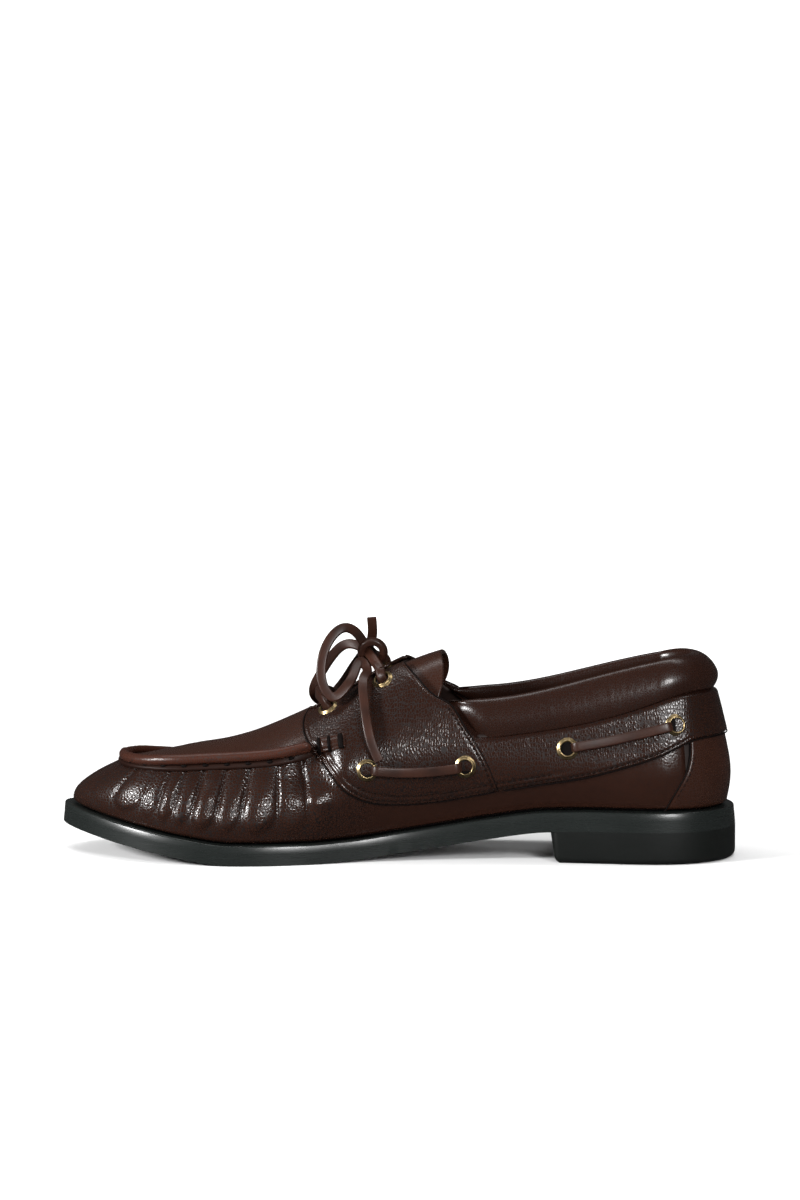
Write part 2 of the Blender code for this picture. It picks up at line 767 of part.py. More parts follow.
def eyelet_mesh():
    """An eyelet about +Z: a turned flange on the leather's face and a barrel through it."""
    profile = (
        (EYELET_OUTER, GAP + 0.35 * EYELET_FLANGE),
        ((EYELET_OUTER + EYELET_HOLE) / 2, GAP + EYELET_FLANGE),
        (EYELET_HOLE, GAP + 0.4 * EYELET_FLANGE),
        (EYELET_HOLE, -WALL),
        (EYELET_BARREL, -WALL),
        (EYELET_BARREL, GAP),
        (EYELET_OUTER, GAP),
    )
    shape = bmesh.new()
    corners = [shape.verts.new((radius, 0.0, height)) for radius, height in profile]
    edges = [shape.edges.new((corners[i - 1], corners[i])) for i in range(len(corners))]
    bmesh.ops.spin(
        shape,
        geom=corners + edges,
        axis=(0, 0, 1),
        cent=(0, 0, 0),
        steps=EYELET_STEPS,
        angle=math.tau,
        use_merge=True,
    )
    return finish_mesh("eyelet", shape)


def build_eyelets(parts):
    mesh = eyelet_mesh()
    for name, (place, normal) in eyelet_places().items():
        eyelet = add_object(name, mesh.copy(), "brass", parts)
        eyelet.matrix_world = Matrix.Translation(place * MM) @ facing(normal)


def build_collar(parts):
    """The padded roll round the opening, standing on the upper's edge behind the saddle."""
    rings = []
    for side in (INNER, OUTER):
        run = [section for section in sections(side) if section.foot_x >= COLLAR_FRONT_X]
        half = [collar_ring(section, side) for section in run]
        rings = half[::-1] if side == INNER else [*rings, *half[1:]]
    add_object("collar", loft("collar", rings), "leather", parts)


def collar_ring(section, side):
    """The collar's cross-section: level at its foot, swollen in the middle and round on top."""
    x = section.foot_x
    low = (saddle_edge(x) if x < SADDLE_FOOT_X else float(groove(x))) + GAP + FACET_ROOM
    high = float(collar_top[side](x))
    if x < SADDLE_FOOT_X:
        high -= COLLAR_FRONT_DROP * (SADDLE_FOOT_X - x) / (SADDLE_FOOT_X - COLLAR_FRONT_X)
    back = max(section.ahead, 0.0)
    foot_radius = section.at_height(low)[0] - WALL / 2
    top_radius = section.at_height(high)[0] - COLLAR_LEAN - COLLAR_BACK_LEAN * back
    foot_half, full_half = WALL / 2, COLLAR_TOP_HALF + COLLAR_BACK_FULLER * back
    outer, inner = [], []
    for t in COLLAR_LEVELS:
        if t > COLLAR_FULLEST:
            half = full_half * math.sqrt(1 - ((t - COLLAR_FULLEST) / (1 - COLLAR_FULLEST)) ** 2)
        else:
            half = foot_half + (full_half - foot_half) * math.sin(math.pi / 2 * t / COLLAR_FULLEST)
        middle = foot_radius + (top_radius - foot_radius) * t
        height = low + (high - low) * t
        outer.append(section.point(middle + half * (1 - COLLAR_SIDE_FLAT * (1 - back)), height))
        inner.append(section.point(middle - half, height))
    return [*outer, section.point(top_radius, high), *inner[::-1]]


def build_apron_roll(parts):
    """The rolled seam round the plug, as a rod that sits on the crease."""
    path = []
    for side in (INNER, OUTER):
        half = []
        for section in sections(side):
            if section.ahead > 1e-6 or section.foot_x > APRON_END_X:
                continue
            lift = ROLL_RADIUS + GAP + FACET_ROOM
            radius = section.edge + lift * math.cos(ROLL_RISE)
            half.append(section.point(radius, section.edge_z + lift * math.sin(ROLL_RISE)))
        path = half if side == INNER else [*path, *half[-2::-1]]
    add_rod("apron_roll", path, ROLL_RADIUS, "rolled_leather", parts)


def add_rod(name, points, radius, material, collection, swell=()):
    """A round rod along a line of points, with a factor on its radius at each point where it swells."""
    curve = bpy.data.curves.new(name, "CURVE")
    curve.dimensions = "3D"
    line = curve.splines.new("POLY")
    line.points.add(len(points) - 1)
    for knot, point in zip(line.points, points):
        knot.co = (*(Vector(point) * MM), 1.0)
    for knot, factor in zip(line.points, swell):
        knot.radius = factor
    curve.bevel_depth = radius * MM
    curve.bevel_resolution = 2
    curve.use_fill_caps = True
    curve.materials.append(new_material(material))
    rod = bpy.data.objects.new(name, curve)
    collection.objects.link(rod)
    return rod


def through(points, spacing):
    """Evenly spaced points on a smooth curve through the given ones."""
    points = np.array([tuple(p) for p in points], float)
    along = np.concatenate([[0], np.cumsum(np.linalg.norm(np.diff(points, axis=0), axis=1))])
    count = max(int(round(along[-1] / spacing)), 3)
    at = np.linspace(0, along[-1], count + 1)
    return np.stack([smooth(along, points[:, i])(at) for i in range(3)], axis=1)


def build_tongue(parts):
    """The tongue: an arched flap under the throat, rising behind the saddle."""
    rings = []
    places = [x for x in SECTION_PLACES if TONGUE_FRONT_X <= x <= TONGUE_TOP_X]
    for x in places[::-1]:
        top, bottom = [], []
        for i in range(TONGUE_ACROSS + 1):
            share = 2 * i / TONGUE_ACROSS - 1
            side = INNER if share < 0 else OUTER
            run = (x - TONGUE_FRONT_X) / (TONGUE_TOP_X - TONGUE_FRONT_X)
            aside = abs(share) * (TONGUE_HALF + TONGUE_FLARE * run**4)
            end = max((x - TONGUE_TOP_X) / TONGUE_END + 1.0, 0.0)
            place_x = x + end * (TONGUE_SCOOP * share**2 - TONGUE_CORNER * share**8)
            place = on_top(place_x, aside, side)
            near = on_top(place_x + 1.0, aside, side), on_top(place_x, aside + 1.0, side)
            normal = outward(place, near)
            depth = WALL + TONGUE_CLEAR
            top.append(place - normal * depth)
            bottom.append(place - normal * (depth + TONGUE_THICK))
        rings.append(top + bottom[::-1])
    add_object("tongue", loft("tongue", rings), "leather", parts)


def bar_path(start, end, side, sag):
    """A lace lying along the wall from one eyelet to the next."""
    path = []
    for t in np.linspace(BAR_START, BAR_END, BAR_POINTS):
        x = start[1] + (end[1] - start[1]) * t
        height = start[2] + (end[2] - start[2]) * t - sag * math.sin(math.pi * t)
        place = on_wall(x, height, side)
        near = on_wall(x + 1.0, height, side), on_wall(x, height + 1.0, side)
        lift = LACE_RADIUS + GAP + BAR_END_LIFT - BAR_MIDDLE_DROP * math.sin(math.pi * t)
        path.append(place + outward(place, near) * lift)
    return path


def build_lace(parts):
    """The collar lace's bars along both sides, the crossing at the throat, and the bow."""
    for word, side in SIDES.items():
        front = bar_path(WALL_EYELETS[0], WALL_EYELETS[1], side, FRONT_BAR_SAG)
        add_rod(f"lace_bar_{word}_front", front, LACE_RADIUS, "lace", parts)
        back = bar_path(WALL_EYELETS[2], WALL_EYELETS[3], side, BACK_BAR_SAG)
        add_rod(f"lace_bar_{word}_back", back, LACE_RADIUS, "lace", parts)
    spacing = 2.5 * LACE_RADIUS
    add_rod("lace_crossing", through(LOW_CROSSING, spacing), LACE_RADIUS, "lace", parts)
    add_rod("lace_loop_inner", through(INNER_LOOP, spacing), LACE_RADIUS, "lace", parts)
    add_rod("lace_end_inner", through(INNER_END, spacing), LACE_RADIUS, "lace", parts)
    add_rod("lace_bow_outer", through(OUTER_BOW, spacing), LACE_RADIUS, "lace", parts)
    strand = through(KNOT, spacing)
    middle = Vector(KNOT[KNOT_MIDDLE])
    swell = []
    for point in strand:
        near = (Vector(point) - middle).length / KNOT_RADIUS
        swell.append(max(1.0, KNOT_RADIUS / LACE_RADIUS * math.sqrt(max(1 - near**2, 0.0))))
    add_rod("lace_knot", strand, LACE_RADIUS, "lace", parts, swell)


def start_scene():
    for piece in list(bpy.data.objects):
        bpy.data.objects.remove(piece, do_unlink=True)
    found = []
    for name in (OBJECT, OBJECT + "_cutters"):
        collection = bpy.data.collections.new(name)
        bpy.context.scene.collection.children.link(collection)
        found.append(collection)
    return found


def main():
    parts, cutters = start_scene()
    build_sole(parts)
    build_upper(parts, cutters)
    build_collar(parts)
    build_apron_roll(parts)
    build_tongue(parts)
    build_eyelets(parts)
    build_lace(parts)


main()
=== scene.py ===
"""The looks of the lace-up loafer: leather, stitching, lace, eyelets and sole, built round the CAD frame.

Sizes are in millimetres and scaled once, by MM. The toe points along -X, the inner side is -Y, and +Z is up.
"""

import math
from functools import lru_cache

import bmesh
import bpy
import numpy as np
from mathutils import Matrix, Vector


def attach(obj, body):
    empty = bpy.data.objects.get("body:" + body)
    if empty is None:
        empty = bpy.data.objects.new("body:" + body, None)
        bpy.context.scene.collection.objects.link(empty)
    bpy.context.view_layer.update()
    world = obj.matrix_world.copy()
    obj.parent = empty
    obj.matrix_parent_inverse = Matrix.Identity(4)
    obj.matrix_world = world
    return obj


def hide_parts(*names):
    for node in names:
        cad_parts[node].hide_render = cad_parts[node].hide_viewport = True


bl_info = {
    "name": "Lace-up loafer",
    "version": (1, 0, 0),
    "blender": (4, 5, 0),
    "location": "3D View > Sidebar > Loafer",
    "description": "Builds the leather, stitching, lace, eyelets and sole of a lace-up loafer",
    "category": "Object",
}

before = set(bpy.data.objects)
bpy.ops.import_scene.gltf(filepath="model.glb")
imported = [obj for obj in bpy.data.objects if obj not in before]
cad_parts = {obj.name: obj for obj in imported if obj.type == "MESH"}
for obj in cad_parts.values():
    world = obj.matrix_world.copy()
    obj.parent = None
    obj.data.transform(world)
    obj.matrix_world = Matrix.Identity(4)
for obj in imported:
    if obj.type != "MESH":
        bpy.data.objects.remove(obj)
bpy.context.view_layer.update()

MM = 0.001
INNER, OUTER = -1, 1
SIDES = {"inner": INNER, "outer": OUTER}
QUARTER_TURN = math.pi / 2

# The last and the sole, as in the CAD source.
HEEL_TIP, TOE_TIP = 149.0, -149.0
TOE_TIP_Y = -0.8
OUTLINE_POINTS = 1600
GAP = 0.3
FACET_ROOM = 0.15
OUTSOLE_THICK = 5.2
WELT_THICK = 3.2
WELT_WIDTH = 7.0
WELT_SHOWS = 3.6
INSOLE_ABOVE_WELT = 2.0
INSOLE_CLEAR = 0.8
WALL = 2.0
HEEL_BREAST_X = 69.0
HEEL_BREAST_SLANT = 2.0
HEEL_BREAST_HOLLOW = 2.5
HEEL_CENTRE_X = 115.0
TOE_CENTRE_X = -84.0
WALL_FOOT_RISE, WALL_FOOT_SWELL = 0.16, 0.3
WALL_MIDDLE_RISE, WALL_MIDDLE_SWELL = 0.42, 1.7
WALL_SHOULDER_RUN = 0.36
APRON_LENGTH = 36.5
APRON_SQUARENESS = 2.4
APRON_END_X = -35.0
CREASE_END_X = -20.0
CREASE_FADE = 22.0
THROAT_FRONT_X = -41.0
THROAT_TOP_X = 2.0
THROAT_HALF = 10.0
SADDLE_FOOT_X = 37.0
SADDLE_BELOW_CROWN = 1.5
TONGUE_FRONT_X = -52.0
TONGUE_TOP_X = 18.0
TONGUE_DEPTH = WALL + 1.7
TONGUE_HALF = 19.5
TONGUE_FLARE = 7.5
TONGUE_END = 12.0
TONGUE_SCOOP = 5.5
TONGUE_CORNER = 5.0
SOLE_PLAN_COLUMNS = ("x", "inner", "outer")
SOLE_PLAN = (
    (92.0, 32.6, 33.6),
    (67.0, 30.6, 33.8),
    (40.0, 28.2, 35.0),
    (15.0, 28.6, 38.2),
    (-10.0, 33.8, 42.6),
    (-32.0, 42.4, 47.2),
    (-55.0, 49.4, 50.6),
    (-73.0, 51.0, 50.0),
    (-92.0, 48.8, 45.8),
    (-110.0, 42.6, 39.4),
    (-126.0, 33.0, 30.4),
    (-138.0, 22.4, 20.6),
    (-146.0, 11.6, 9.6),
)
# The heel's round end: its centre along x, its half width, and the angles of its knots in degrees.
HEEL_ROUND = (116.0, 33.0)
HEEL_BENDS = (25, 50, 75)
SOLE_SIDE_COLUMNS = ("x", "underside")
SOLE_SIDE = (
    (-149.0, 12.6),
    (-131.0, 9.4),
    (-117.0, 6.9),
    (-106.0, 5.0),
    (-92.0, 2.7),
    (-68.0, 0.0),
    (-36.0, 0.0),
    (-18.0, 0.9),
    (3.0, 3.6),
    (19.0, 6.0),
    (41.0, 9.8),
    (68.0, 13.6),
    (90.0, 14.2),
    (149.0, 14.2),
)
LAST_COLUMNS = (
    "x",
    "crown",
    "inner_shoulder",
    "outer_shoulder",
    "inner",
    "outer",
    "inner_bulge",
    "outer_bulge",
    "power",
)
LAST = (
    (-146.0, 40.0, 39.6, 38.6, 34.0, 34.5, 1.0, 1.0, 2.0),
    (-122.0, 41.6, 40.6, 37.4, 34.0, 34.5, 1.2, 1.2, 2.0),
    (-100.0, 44.6, 42.0, 36.6, 34.0, 34.5, 1.4, 1.6, 2.0),
    (-84.0, 48.5, 43.2, 37.4, 34.2, 35.0, 1.6, 2.0, 2.0),
    (-66.0, 53.2, 44.4, 39.4, 35.4, 37.2, 1.8, 2.2, 2.0),
    (-48.0, 60.6, 46.4, 42.6, 36.0, 38.6, 2.6, 2.4, 2.0),
    (-30.0, 69.4, 50.0, 47.4, 35.6, 38.4, 4.0, 2.4, 2.1),
    (-10.0, 81.3, 54.0, 53.0, 34.2, 37.0, 5.6, 2.4, 2.3),
    (10.0, 90.6, 56.0, 55.6, 32.8, 35.4, 6.6, 2.6, 2.6),
    (30.0, 96.5, 55.0, 55.0, 32.2, 34.2, 6.6, 3.0, 3.0),
    (60.0, 104.0, 52.0, 52.0, 32.4, 33.2, 5.6, 3.2, 3.4),
    (90.0, 109.0, 51.0, 51.0, 32.0, 32.0, 4.0, 3.2, 3.2),
    (115.0, 111.0, 51.0, 51.0, 31.0, 31.0, 3.2, 3.2, 2.8),
    (135.0, 111.0, 51.0, 51.0, 30.4, 30.4, 2.2, 2.2, 2.4),
    (146.0, 111.0, 51.0, 51.0, 30.2, 30.2, 1.8, 1.8, 2.3),
)
BROW_COLUMNS = ("x", "out", "down")
BROW = (
    (-146.0, 11.5, 4.6),
    (-122.0, 9.5, 6.4),
    (-100.0, 7.5, 8.6),
    (-84.0, 6.0, 9.5),
    (-48.0, 4.0, 10.0),
    (-20.0, 2.5, 11.0),
)
COLLAR_COLUMNS = ("x", "groove", "inner_top", "outer_top")
COLLAR = (
    (25.0, 56.0, 71.0, 70.6),
    (37.0, 54.8, 71.4, 71.0),
    (50.0, 56.0, 72.8, 72.4),
    (67.0, 58.4, 76.2, 75.8),
    (84.0, 61.6, 80.6, 80.2),
    (108.0, 68.2, 86.6, 86.2),
    (125.0, 73.4, 89.6, 89.2),
    (137.0, 74.6, 90.0, 90.0),
    (146.0, 74.6, 90.0, 90.0),
)
WALL_EYELETS = (
    ("side_1", -10.5, 41.2),
    ("side_2", 32.0, 42.6),
    ("side_3", 76.5, 50.8),
    ("side_4", 123.5, 61.0),
)
THROAT_EYELETS = (("throat_low", -29.6, 16.8), ("throat_top", -5.5, 16.8))

# Panels. The skirt and the plug lie a skin's depth under the CAD's surface, the overlays just over it.
SKIN = -0.9
OVERLAY = 0.15
LINING_DEPTH = -1.9
FOOT_TUCK = -1.2

# The cut lower edge of the saddle's wing and of the quarter, from the rim's end to the back strap.
EDGE_COLUMNS = ("x", "height")
LOWER_EDGE = (
    (-32.1, 46.6),
    (-29.3, 42.2),
    (-25.7, 38.0),
    (-21.8, 33.6),
    (-17.1, 29.9),
    (-11.2, 27.0),
    (-3.1, 25.4),
    (5.5, 25.2),
    (20.7, 26.4),
    (33.8, 28.8),
    (45.7, 31.2),
    (64.6, 34.6),
    (82.0, 37.6),
    (99.3, 42.0),
    (116.6, 47.6),
    (125.2, 51.6),
    (131.0, 54.0),
    (137.0, 54.8),
    (147.0, 55.0),
)
# The saddle's front edge, from the rim's end up to the throat, in the same two columns.
SADDLE_FRONT = (
    (-32.1, 46.6),
    (-35.0, 50.2),
    (-38.1, 53.9),
    (-39.8, 57.4),
    (-40.2, 60.8),
    (-39.0, 63.5),
    (-36.5, 65.2),
)
# The saddle's back edge, from the quarter up to the top.
SADDLE_BACK = (
    (46.5, 31.2),
    (40.6, 45.6),
    (35.3, 54.2),
    (30.3, 61.8),
    (24.8, 69.4),
    (18.5, 72.6),
    (10.5, 79.6),
    (3.2, 86.0),
)
# The seam in front of the counter, from the strap down to the feather.
COUNTER_SEAM = ((129.9, 54.6), (130.0, 47.9), (128.8, 41.5), (125.8, 35.1), (122.0, 28.5), (117.5, 20.0))
# How much lower the outer wing's front edge and its tab lie than the inner ones.
OUTER_DROP = {INNER: 0.0, OUTER: -2.2}

# Gathers of the skirt. The columns are each crease's run along the shoe at the rim, its run at its lower end,
# and the height of the fold on its heel side. The outer side's creases lie a little farther along.
GATHERS = (
    (140.0, 132.0, 0.0),
    (154.8, 149.5, 1.9),
    (164.6, 163.7, 0.8),
    (177.1, 180.7, 2.2),
    (187.4, 191.8, 1.5),
    (197.2, 202.6, 2.1),
    (205.8, 209.4, 1.0),
    (212.8, 215.0, 1.0),
    (219.4, 222.0, 0.3),
    (230.6, 234.6, 0.9),
    (243.0, 246.0, 0.3),
    (252.0, 254.0, 0.15),
    (259.0, 259.0, 0.1),
)
GATHER_RIM, GATHER_END, GATHER_HEIGHT = np.array(GATHERS).T
OUTER_SHIFT = 3.1


# Curves through short tables.


def smooth(knots, values):
    """The natural cubic curve through the values, level past its ends."""
    knots, values = np.asarray(knots, float), np.asarray(values, float)
    step = np.diff(knots)
    rise = np.diff(values) / step
    last = len(knots) - 1
    system = np.eye(last + 1)
    load = np.zeros(last + 1)
    for i in range(1, last):
        system[i, i - 1 : i + 2] = step[i - 1], 2 * (step[i - 1] + step[i]), step[i]
        load[i] = 6 * (rise[i] - rise[i - 1])
    bend = np.linalg.solve(system, load)

    def curve(at):
        at = np.clip(at, knots[0], knots[-1])
        i = np.clip(np.searchsorted(knots, at, side="right") - 1, 0, last - 1)
        ahead, behind, run = knots[i + 1] - at, at - knots[i], step[i]
        cubic = (bend[i] * ahead**3 + bend[i + 1] * behind**3) / (6 * run)
        line = (values[i] / run - bend[i] * run / 6) * ahead
        line += (values[i + 1] / run - bend[i + 1] * run / 6) * behind
        return cubic + line

    return curve


def level(knots, values):
    """A cubic curve through the values that never overshoots them."""
    knots, values = np.asarray(knots, float), np.asarray(values, float)
    step = np.diff(knots)
    rise = np.diff(values) / step
    slope = np.array([rise[0], *(0.0 for _ in rise[1:]), rise[-1]])
    for i in range(1, len(rise)):
        if rise[i - 1] * rise[i] > 0:
            slope[i] = 2 * rise[i - 1] * rise[i] / (rise[i - 1] + rise[i])

    def curve(at):
        at = np.clip(at, knots[0], knots[-1])
        i = np.clip(np.searchsorted(knots, at, side="right") - 1, 0, len(step) - 1)
        t = (at - knots[i]) / step[i]
        start = (1 + 2 * t) * (1 - t) ** 2 * values[i] + t * (1 - t) ** 2 * step[i] * slope[i]
        return start + t * t * (3 - 2 * t) * values[i + 1] + t * t * (t - 1) * step[i] * slope[i + 1]

    return curve


def column_of(columns, rows, name, curve=smooth):
    """One column of a table as a function of x."""
    table = np.array(sorted(rows), float)
    return curve(table[:, 0], table[:, columns.index(name)])


def run_along(points):
    """How far along a line each of its points lies."""
    steps = np.diff(np.array([tuple(p) for p in points], float), axis=0)
    return np.concatenate([[0], np.cumsum(np.linalg.norm(steps, axis=1))])


def through(points, spacing=None, count=None):
    """Evenly spaced points on a smooth curve through the given ones."""
    points = np.array([tuple(p) for p in points], float)
    along = run_along(points)
    if count is None:
        count = max(int(round(along[-1] / spacing)), 3)
    at = np.linspace(0, along[-1], count + 1)
    return np.stack([smooth(along, points[:, i])(at) for i in range(points.shape[1])], axis=1)


def ease(low, high, value):
    """0 below low, 1 above high, and a smooth step between them."""
    t = np.clip((np.asarray(value, float) - low) / (high - low), 0.0, 1.0)
    return t * t * (3 - 2 * t)


def bell(value, middle, wide):
    """1 in the middle, falling away smoothly on both sides."""
    return np.exp(-(((value - middle) / wide) ** 2))


def both_sides(runs):
    """(side, run) over the inner side's runs and back over the outer side's. The two share the last run."""
    return [(INNER, run) for run in runs] + [(OUTER, run) for run in runs[-2::-1]]


underside = column_of(SOLE_SIDE_COLUMNS, SOLE_SIDE, "underside", level)
crown = column_of(LAST_COLUMNS, LAST, "crown")
shoulder = {side: column_of(LAST_COLUMNS, LAST, name + "_shoulder") for name, side in SIDES.items()}
power = column_of(LAST_COLUMNS, LAST, "power")
reach = {side: column_of(LAST_COLUMNS, LAST, name) for name, side in SIDES.items()}
bulge = {side: column_of(LAST_COLUMNS, LAST, name + "_bulge") for name, side in SIDES.items()}
brow_out = column_of(BROW_COLUMNS, BROW, "out")
brow_down = column_of(BROW_COLUMNS, BROW, "down")
groove = column_of(COLLAR_COLUMNS, COLLAR, "groove")
collar_top = {side: column_of(COLLAR_COLUMNS, COLLAR, name + "_top") for name, side in SIDES.items()}
lower_edge = column_of(EDGE_COLUMNS, LOWER_EDGE, "height", level)


def outsole_top(x):
    return underside(x) + OUTSOLE_THICK


def welt_top(x):
    return outsole_top(x) + GAP + WELT_THICK


def wall_foot(x):
    """The height at which the upper starts, just above the welt."""
    return float(welt_top(x)) + GAP + FACET_ROOM


def sole_outline():
    """The sole's edge as a dense closed line, from the heel's back along the inner side and round the toe."""
    centre, half = HEEL_ROUND
    bends = [math.radians(a) for a in HEEL_BENDS]
    inner = [(centre + (HEEL_TIP - centre) * math.cos(a), -half * math.sin(a)) for a in bends]
    outer = [(x, -y) for x, y in inner]
    plan = [dict(zip(SOLE_PLAN_COLUMNS, row)) for row in SOLE_PLAN]
    inner += [(row["x"], -row["inner"]) for row in plan]
    outer += [(row["x"], row["outer"]) for row in plan]
    knots = np.array([(HEEL_TIP, 0.0), *inner, (TOE_TIP, TOE_TIP_Y), *outer[::-1]])
    wrap = 4
    ring = np.vstack([knots[-wrap:], knots, knots[: wrap + 1]])
    along = run_along(ring)
    at = np.linspace(along[wrap], along[wrap + len(knots)], OUTLINE_POINTS, endpoint=False)
    return np.stack([smooth(along, ring[:, 0])(at), smooth(along, ring[:, 1])(at)], axis=1)


OUTLINE = sole_outline()


def inset_outline(distance):
    """The sole's edge moved inwards."""
    ahead = np.roll(OUTLINE, -1, axis=0) - np.roll(OUTLINE, 1, axis=0)
    ahead /= np.linalg.norm(ahead, axis=1)[:, None]
    return OUTLINE + distance * np.stack([ahead[:, 1], -ahead[:, 0]], axis=1)


def half_width(outline, side):
    """The outline's distance from the centre line on one side, as a function of x."""
    half = outline[outline[:, 1] * side > 0]
    half = half[np.argsort(half[:, 0])]
    return lambda x: np.interp(x, half[:, 0], np.abs(half[:, 1]), left=0.0, right=0.0)


FEATHER = inset_outline(WELT_SHOWS)
FEATHER_HALF = {side: half_width(FEATHER, side) for side in SIDES.values()}


# The last's surface in columns. A column is a half section: square to the shoe along its length, and fanned
# round the heel and the toe. Its run is its place along the shoe, from the heel's back to the tip of the toe.

STRAIGHT_RUN = HEEL_CENTRE_X - TOE_CENTRE_X
HEEL_RUN = 45.0
TOE_RUN = 60.0
WALL_SAMPLES = 110
TOP_SAMPLES = 130
FOOT_MIDDLE_HEIGHT = 30.0
NEIGHBOUR_STEP = 0.8


@lru_cache(maxsize=None)
def fan_table(centre_x, side):
    half = FEATHER[FEATHER[:, 1] * side >= -0.5]
    turn = np.arctan2(np.abs(half[:, 1]) * np.sign(half[:, 1] * side), half[:, 0] - centre_x)
    order = np.argsort(turn)
    return turn[order], np.hypot(half[:, 0] - centre_x, half[:, 1])[order]


def apron_radius(angle, side):
    """The apron seam's distance from the toe centre."""
    wide = float(reach[side](TOE_CENTRE_X))
    along, across = abs(math.cos(angle)) / APRON_LENGTH, abs(math.sin(angle)) / wide
    return (along**APRON_SQUARENESS + across**APRON_SQUARENESS) ** (-1 / APRON_SQUARENESS)


def top_height(x, aside, side):
    """The height of the last's top surface over a place in plan."""
    half, high = reach[side](x), crown(x)
    return high - (high - shoulder[side](x)) * np.minimum(aside / half, 1.3) ** power(x)


class Column:
    """A half section of the last, as a profile from the feather up the wall and over the top."""

    def __init__(self, side, run):
        self.side, self.run = side, run
        if run < 0:
            self.centre_x, angle = HEEL_CENTRE_X, QUARTER_TURN * (1 + run / HEEL_RUN)
        elif run <= STRAIGHT_RUN:
            self.centre_x, angle = HEEL_CENTRE_X - run, QUARTER_TURN
        else:
            self.centre_x, angle = TOE_CENTRE_X, QUARTER_TURN * (1 + (run - STRAIGHT_RUN) / TOE_RUN)
        self.ahead, self.aside = math.cos(angle), math.sin(angle) * side
        straight = 0 <= run <= STRAIGHT_RUN
        if straight:
            self.ahead = 0.0
            foot = float(FEATHER_HALF[side](self.centre_x))
        else:
            foot = float(np.interp(angle, *fan_table(self.centre_x, side)))
        self.foot_x = x = self.centre_x + foot * self.ahead
        foot_z = wall_foot(x)
        edge = apron_radius(angle, side) if run >= STRAIGHT_RUN else float(reach[side](x))
        radius = edge * np.linspace(1, 0, TOP_SAMPLES)
        top = self.top_of(radius)
        high = float(top[0]) - foot_z
        swell = float(bulge[side](x))
        slope = (float(self.top_of(edge - 0.5)) - float(top[0])) / 0.5
        tangent = Vector((1.0, -slope)).normalized() * WALL_SHOULDER_RUN * high
        brow = Vector((float(brow_out(x)), -float(brow_down(x))))
        crease = float(ease(0.0, 1.0, (CREASE_END_X - x) / CREASE_FADE))
        end = Vector((edge, float(top[0])))
        points = (
            (foot, foot_z),
            (foot + WALL_FOOT_SWELL * swell, foot_z + WALL_FOOT_RISE * high),
            (foot + WALL_MIDDLE_SWELL * swell, foot_z + WALL_MIDDLE_RISE * high),
            tuple(end + tangent.lerp(brow, crease)),
            tuple(end),
        )
        t = np.linspace(0, 1, WALL_SAMPLES)[:, None]
        wall = sum(math.comb(4, i) * t**i * (1 - t) ** (4 - i) * np.array(p) for i, p in enumerate(points))
        self.radius = np.concatenate([wall[:, 0], radius[1:]])
        self.height = np.concatenate([wall[:, 1], top[1:]])
        steps = np.hypot(np.diff(self.radius), np.diff(self.height))
        self.length = np.concatenate([[0], np.cumsum(steps)])
        self.shoulder = float(self.length[WALL_SAMPLES - 1])

    def top_of(self, radius):
        if self.ahead > 1e-6:
            return top_height(self.foot_x, radius, self.side)
        return top_height(self.centre_x + radius * self.ahead, radius * abs(self.aside), self.side)

    def at_height(self, height):
        """How far along the profile this height is."""
        return float(np.interp(height, self.height, self.length))

    def at_radius(self, radius):
        """How far along the profile the top surface has this distance from the centre line."""
        return float(np.interp(-radius, -self.radius[WALL_SAMPLES:], self.length[WALL_SAMPLES:]))

    def place(self, length, out=0.0):
        """The point this far along the profile, moved out in the column's own plane."""
        radius = np.interp(length, self.length, self.radius)
        height = np.interp(length, self.length, self.height)
        if out:
            near = length + 0.4, length - 0.4
            run = [np.interp(n, self.length, self.radius) for n in near]
            rise = [np.interp(n, self.length, self.height) for n in near]
            across = Vector((rise[0] - rise[1], run[1] - run[0])).normalized()
            radius, height = radius + across.x * out, height + across.y * out
        return self.point(radius, height)

    def point(self, radius, height):
        return Vector((self.centre_x + radius * self.ahead, radius * self.aside, height))


@lru_cache(maxsize=None)
def column(side, tenths):
    return Column(side, tenths / 10)


def column_at(side, run):
    """The column nearest to a run. A tenth of a millimetre along makes no difference to its shape."""
    return column(side, round(float(run) * 10))


def run_of(side, x, height):
    """The run of the column whose surface passes x at this height."""
    if x <= HEEL_CENTRE_X:
        return HEEL_CENTRE_X - x
    low, high = -HEEL_RUN, 0.0
    for _ in range(24):
        middle = (low + high) / 2
        here = column_at(side, middle)
        low, high = (middle, high) if here.place(here.at_height(height)).x > x else (low, middle)
    return low


def on_wall(side, x, height, out=0.0):
    """The point of the surface at x and this height."""
    here = column_at(side, run_of(side, x, height))
    return here.place(here.at_height(height), out)


def on_top(side, x, aside):
    return Vector((x, aside * side, float(top_height(x, aside, side))))


def normal_of(place, first, second):
    """The unit normal at a point, from two neighbours, away from the foot."""
    normal = (first - place).cross(second - place).normalized()
    return normal if normal.dot(from_middle(place)) > 0 else -normal


def from_middle(place):
    """The direction from the middle of the foot to a point."""
    return place - Vector((place.x, 0.0, FOOT_MIDDLE_HEIGHT))


def wall_normal(side, x, height):
    place, near = on_wall(side, x, height), NEIGHBOUR_STEP
    return normal_of(place, on_wall(side, x + near, height), on_wall(side, x, height + near))


def top_normal(side, x, aside):
    place, near = on_top(side, x, aside), NEIGHBOUR_STEP
    return normal_of(place, on_top(side, x + near, aside), on_top(side, x, aside + near))


# Building meshes. Shapes are made in millimetres and scaled to metres when they become objects.


def array_of(rows):
    """Rows of points as one array."""
    return np.array([[tuple(p) for p in row] for row in rows], float)


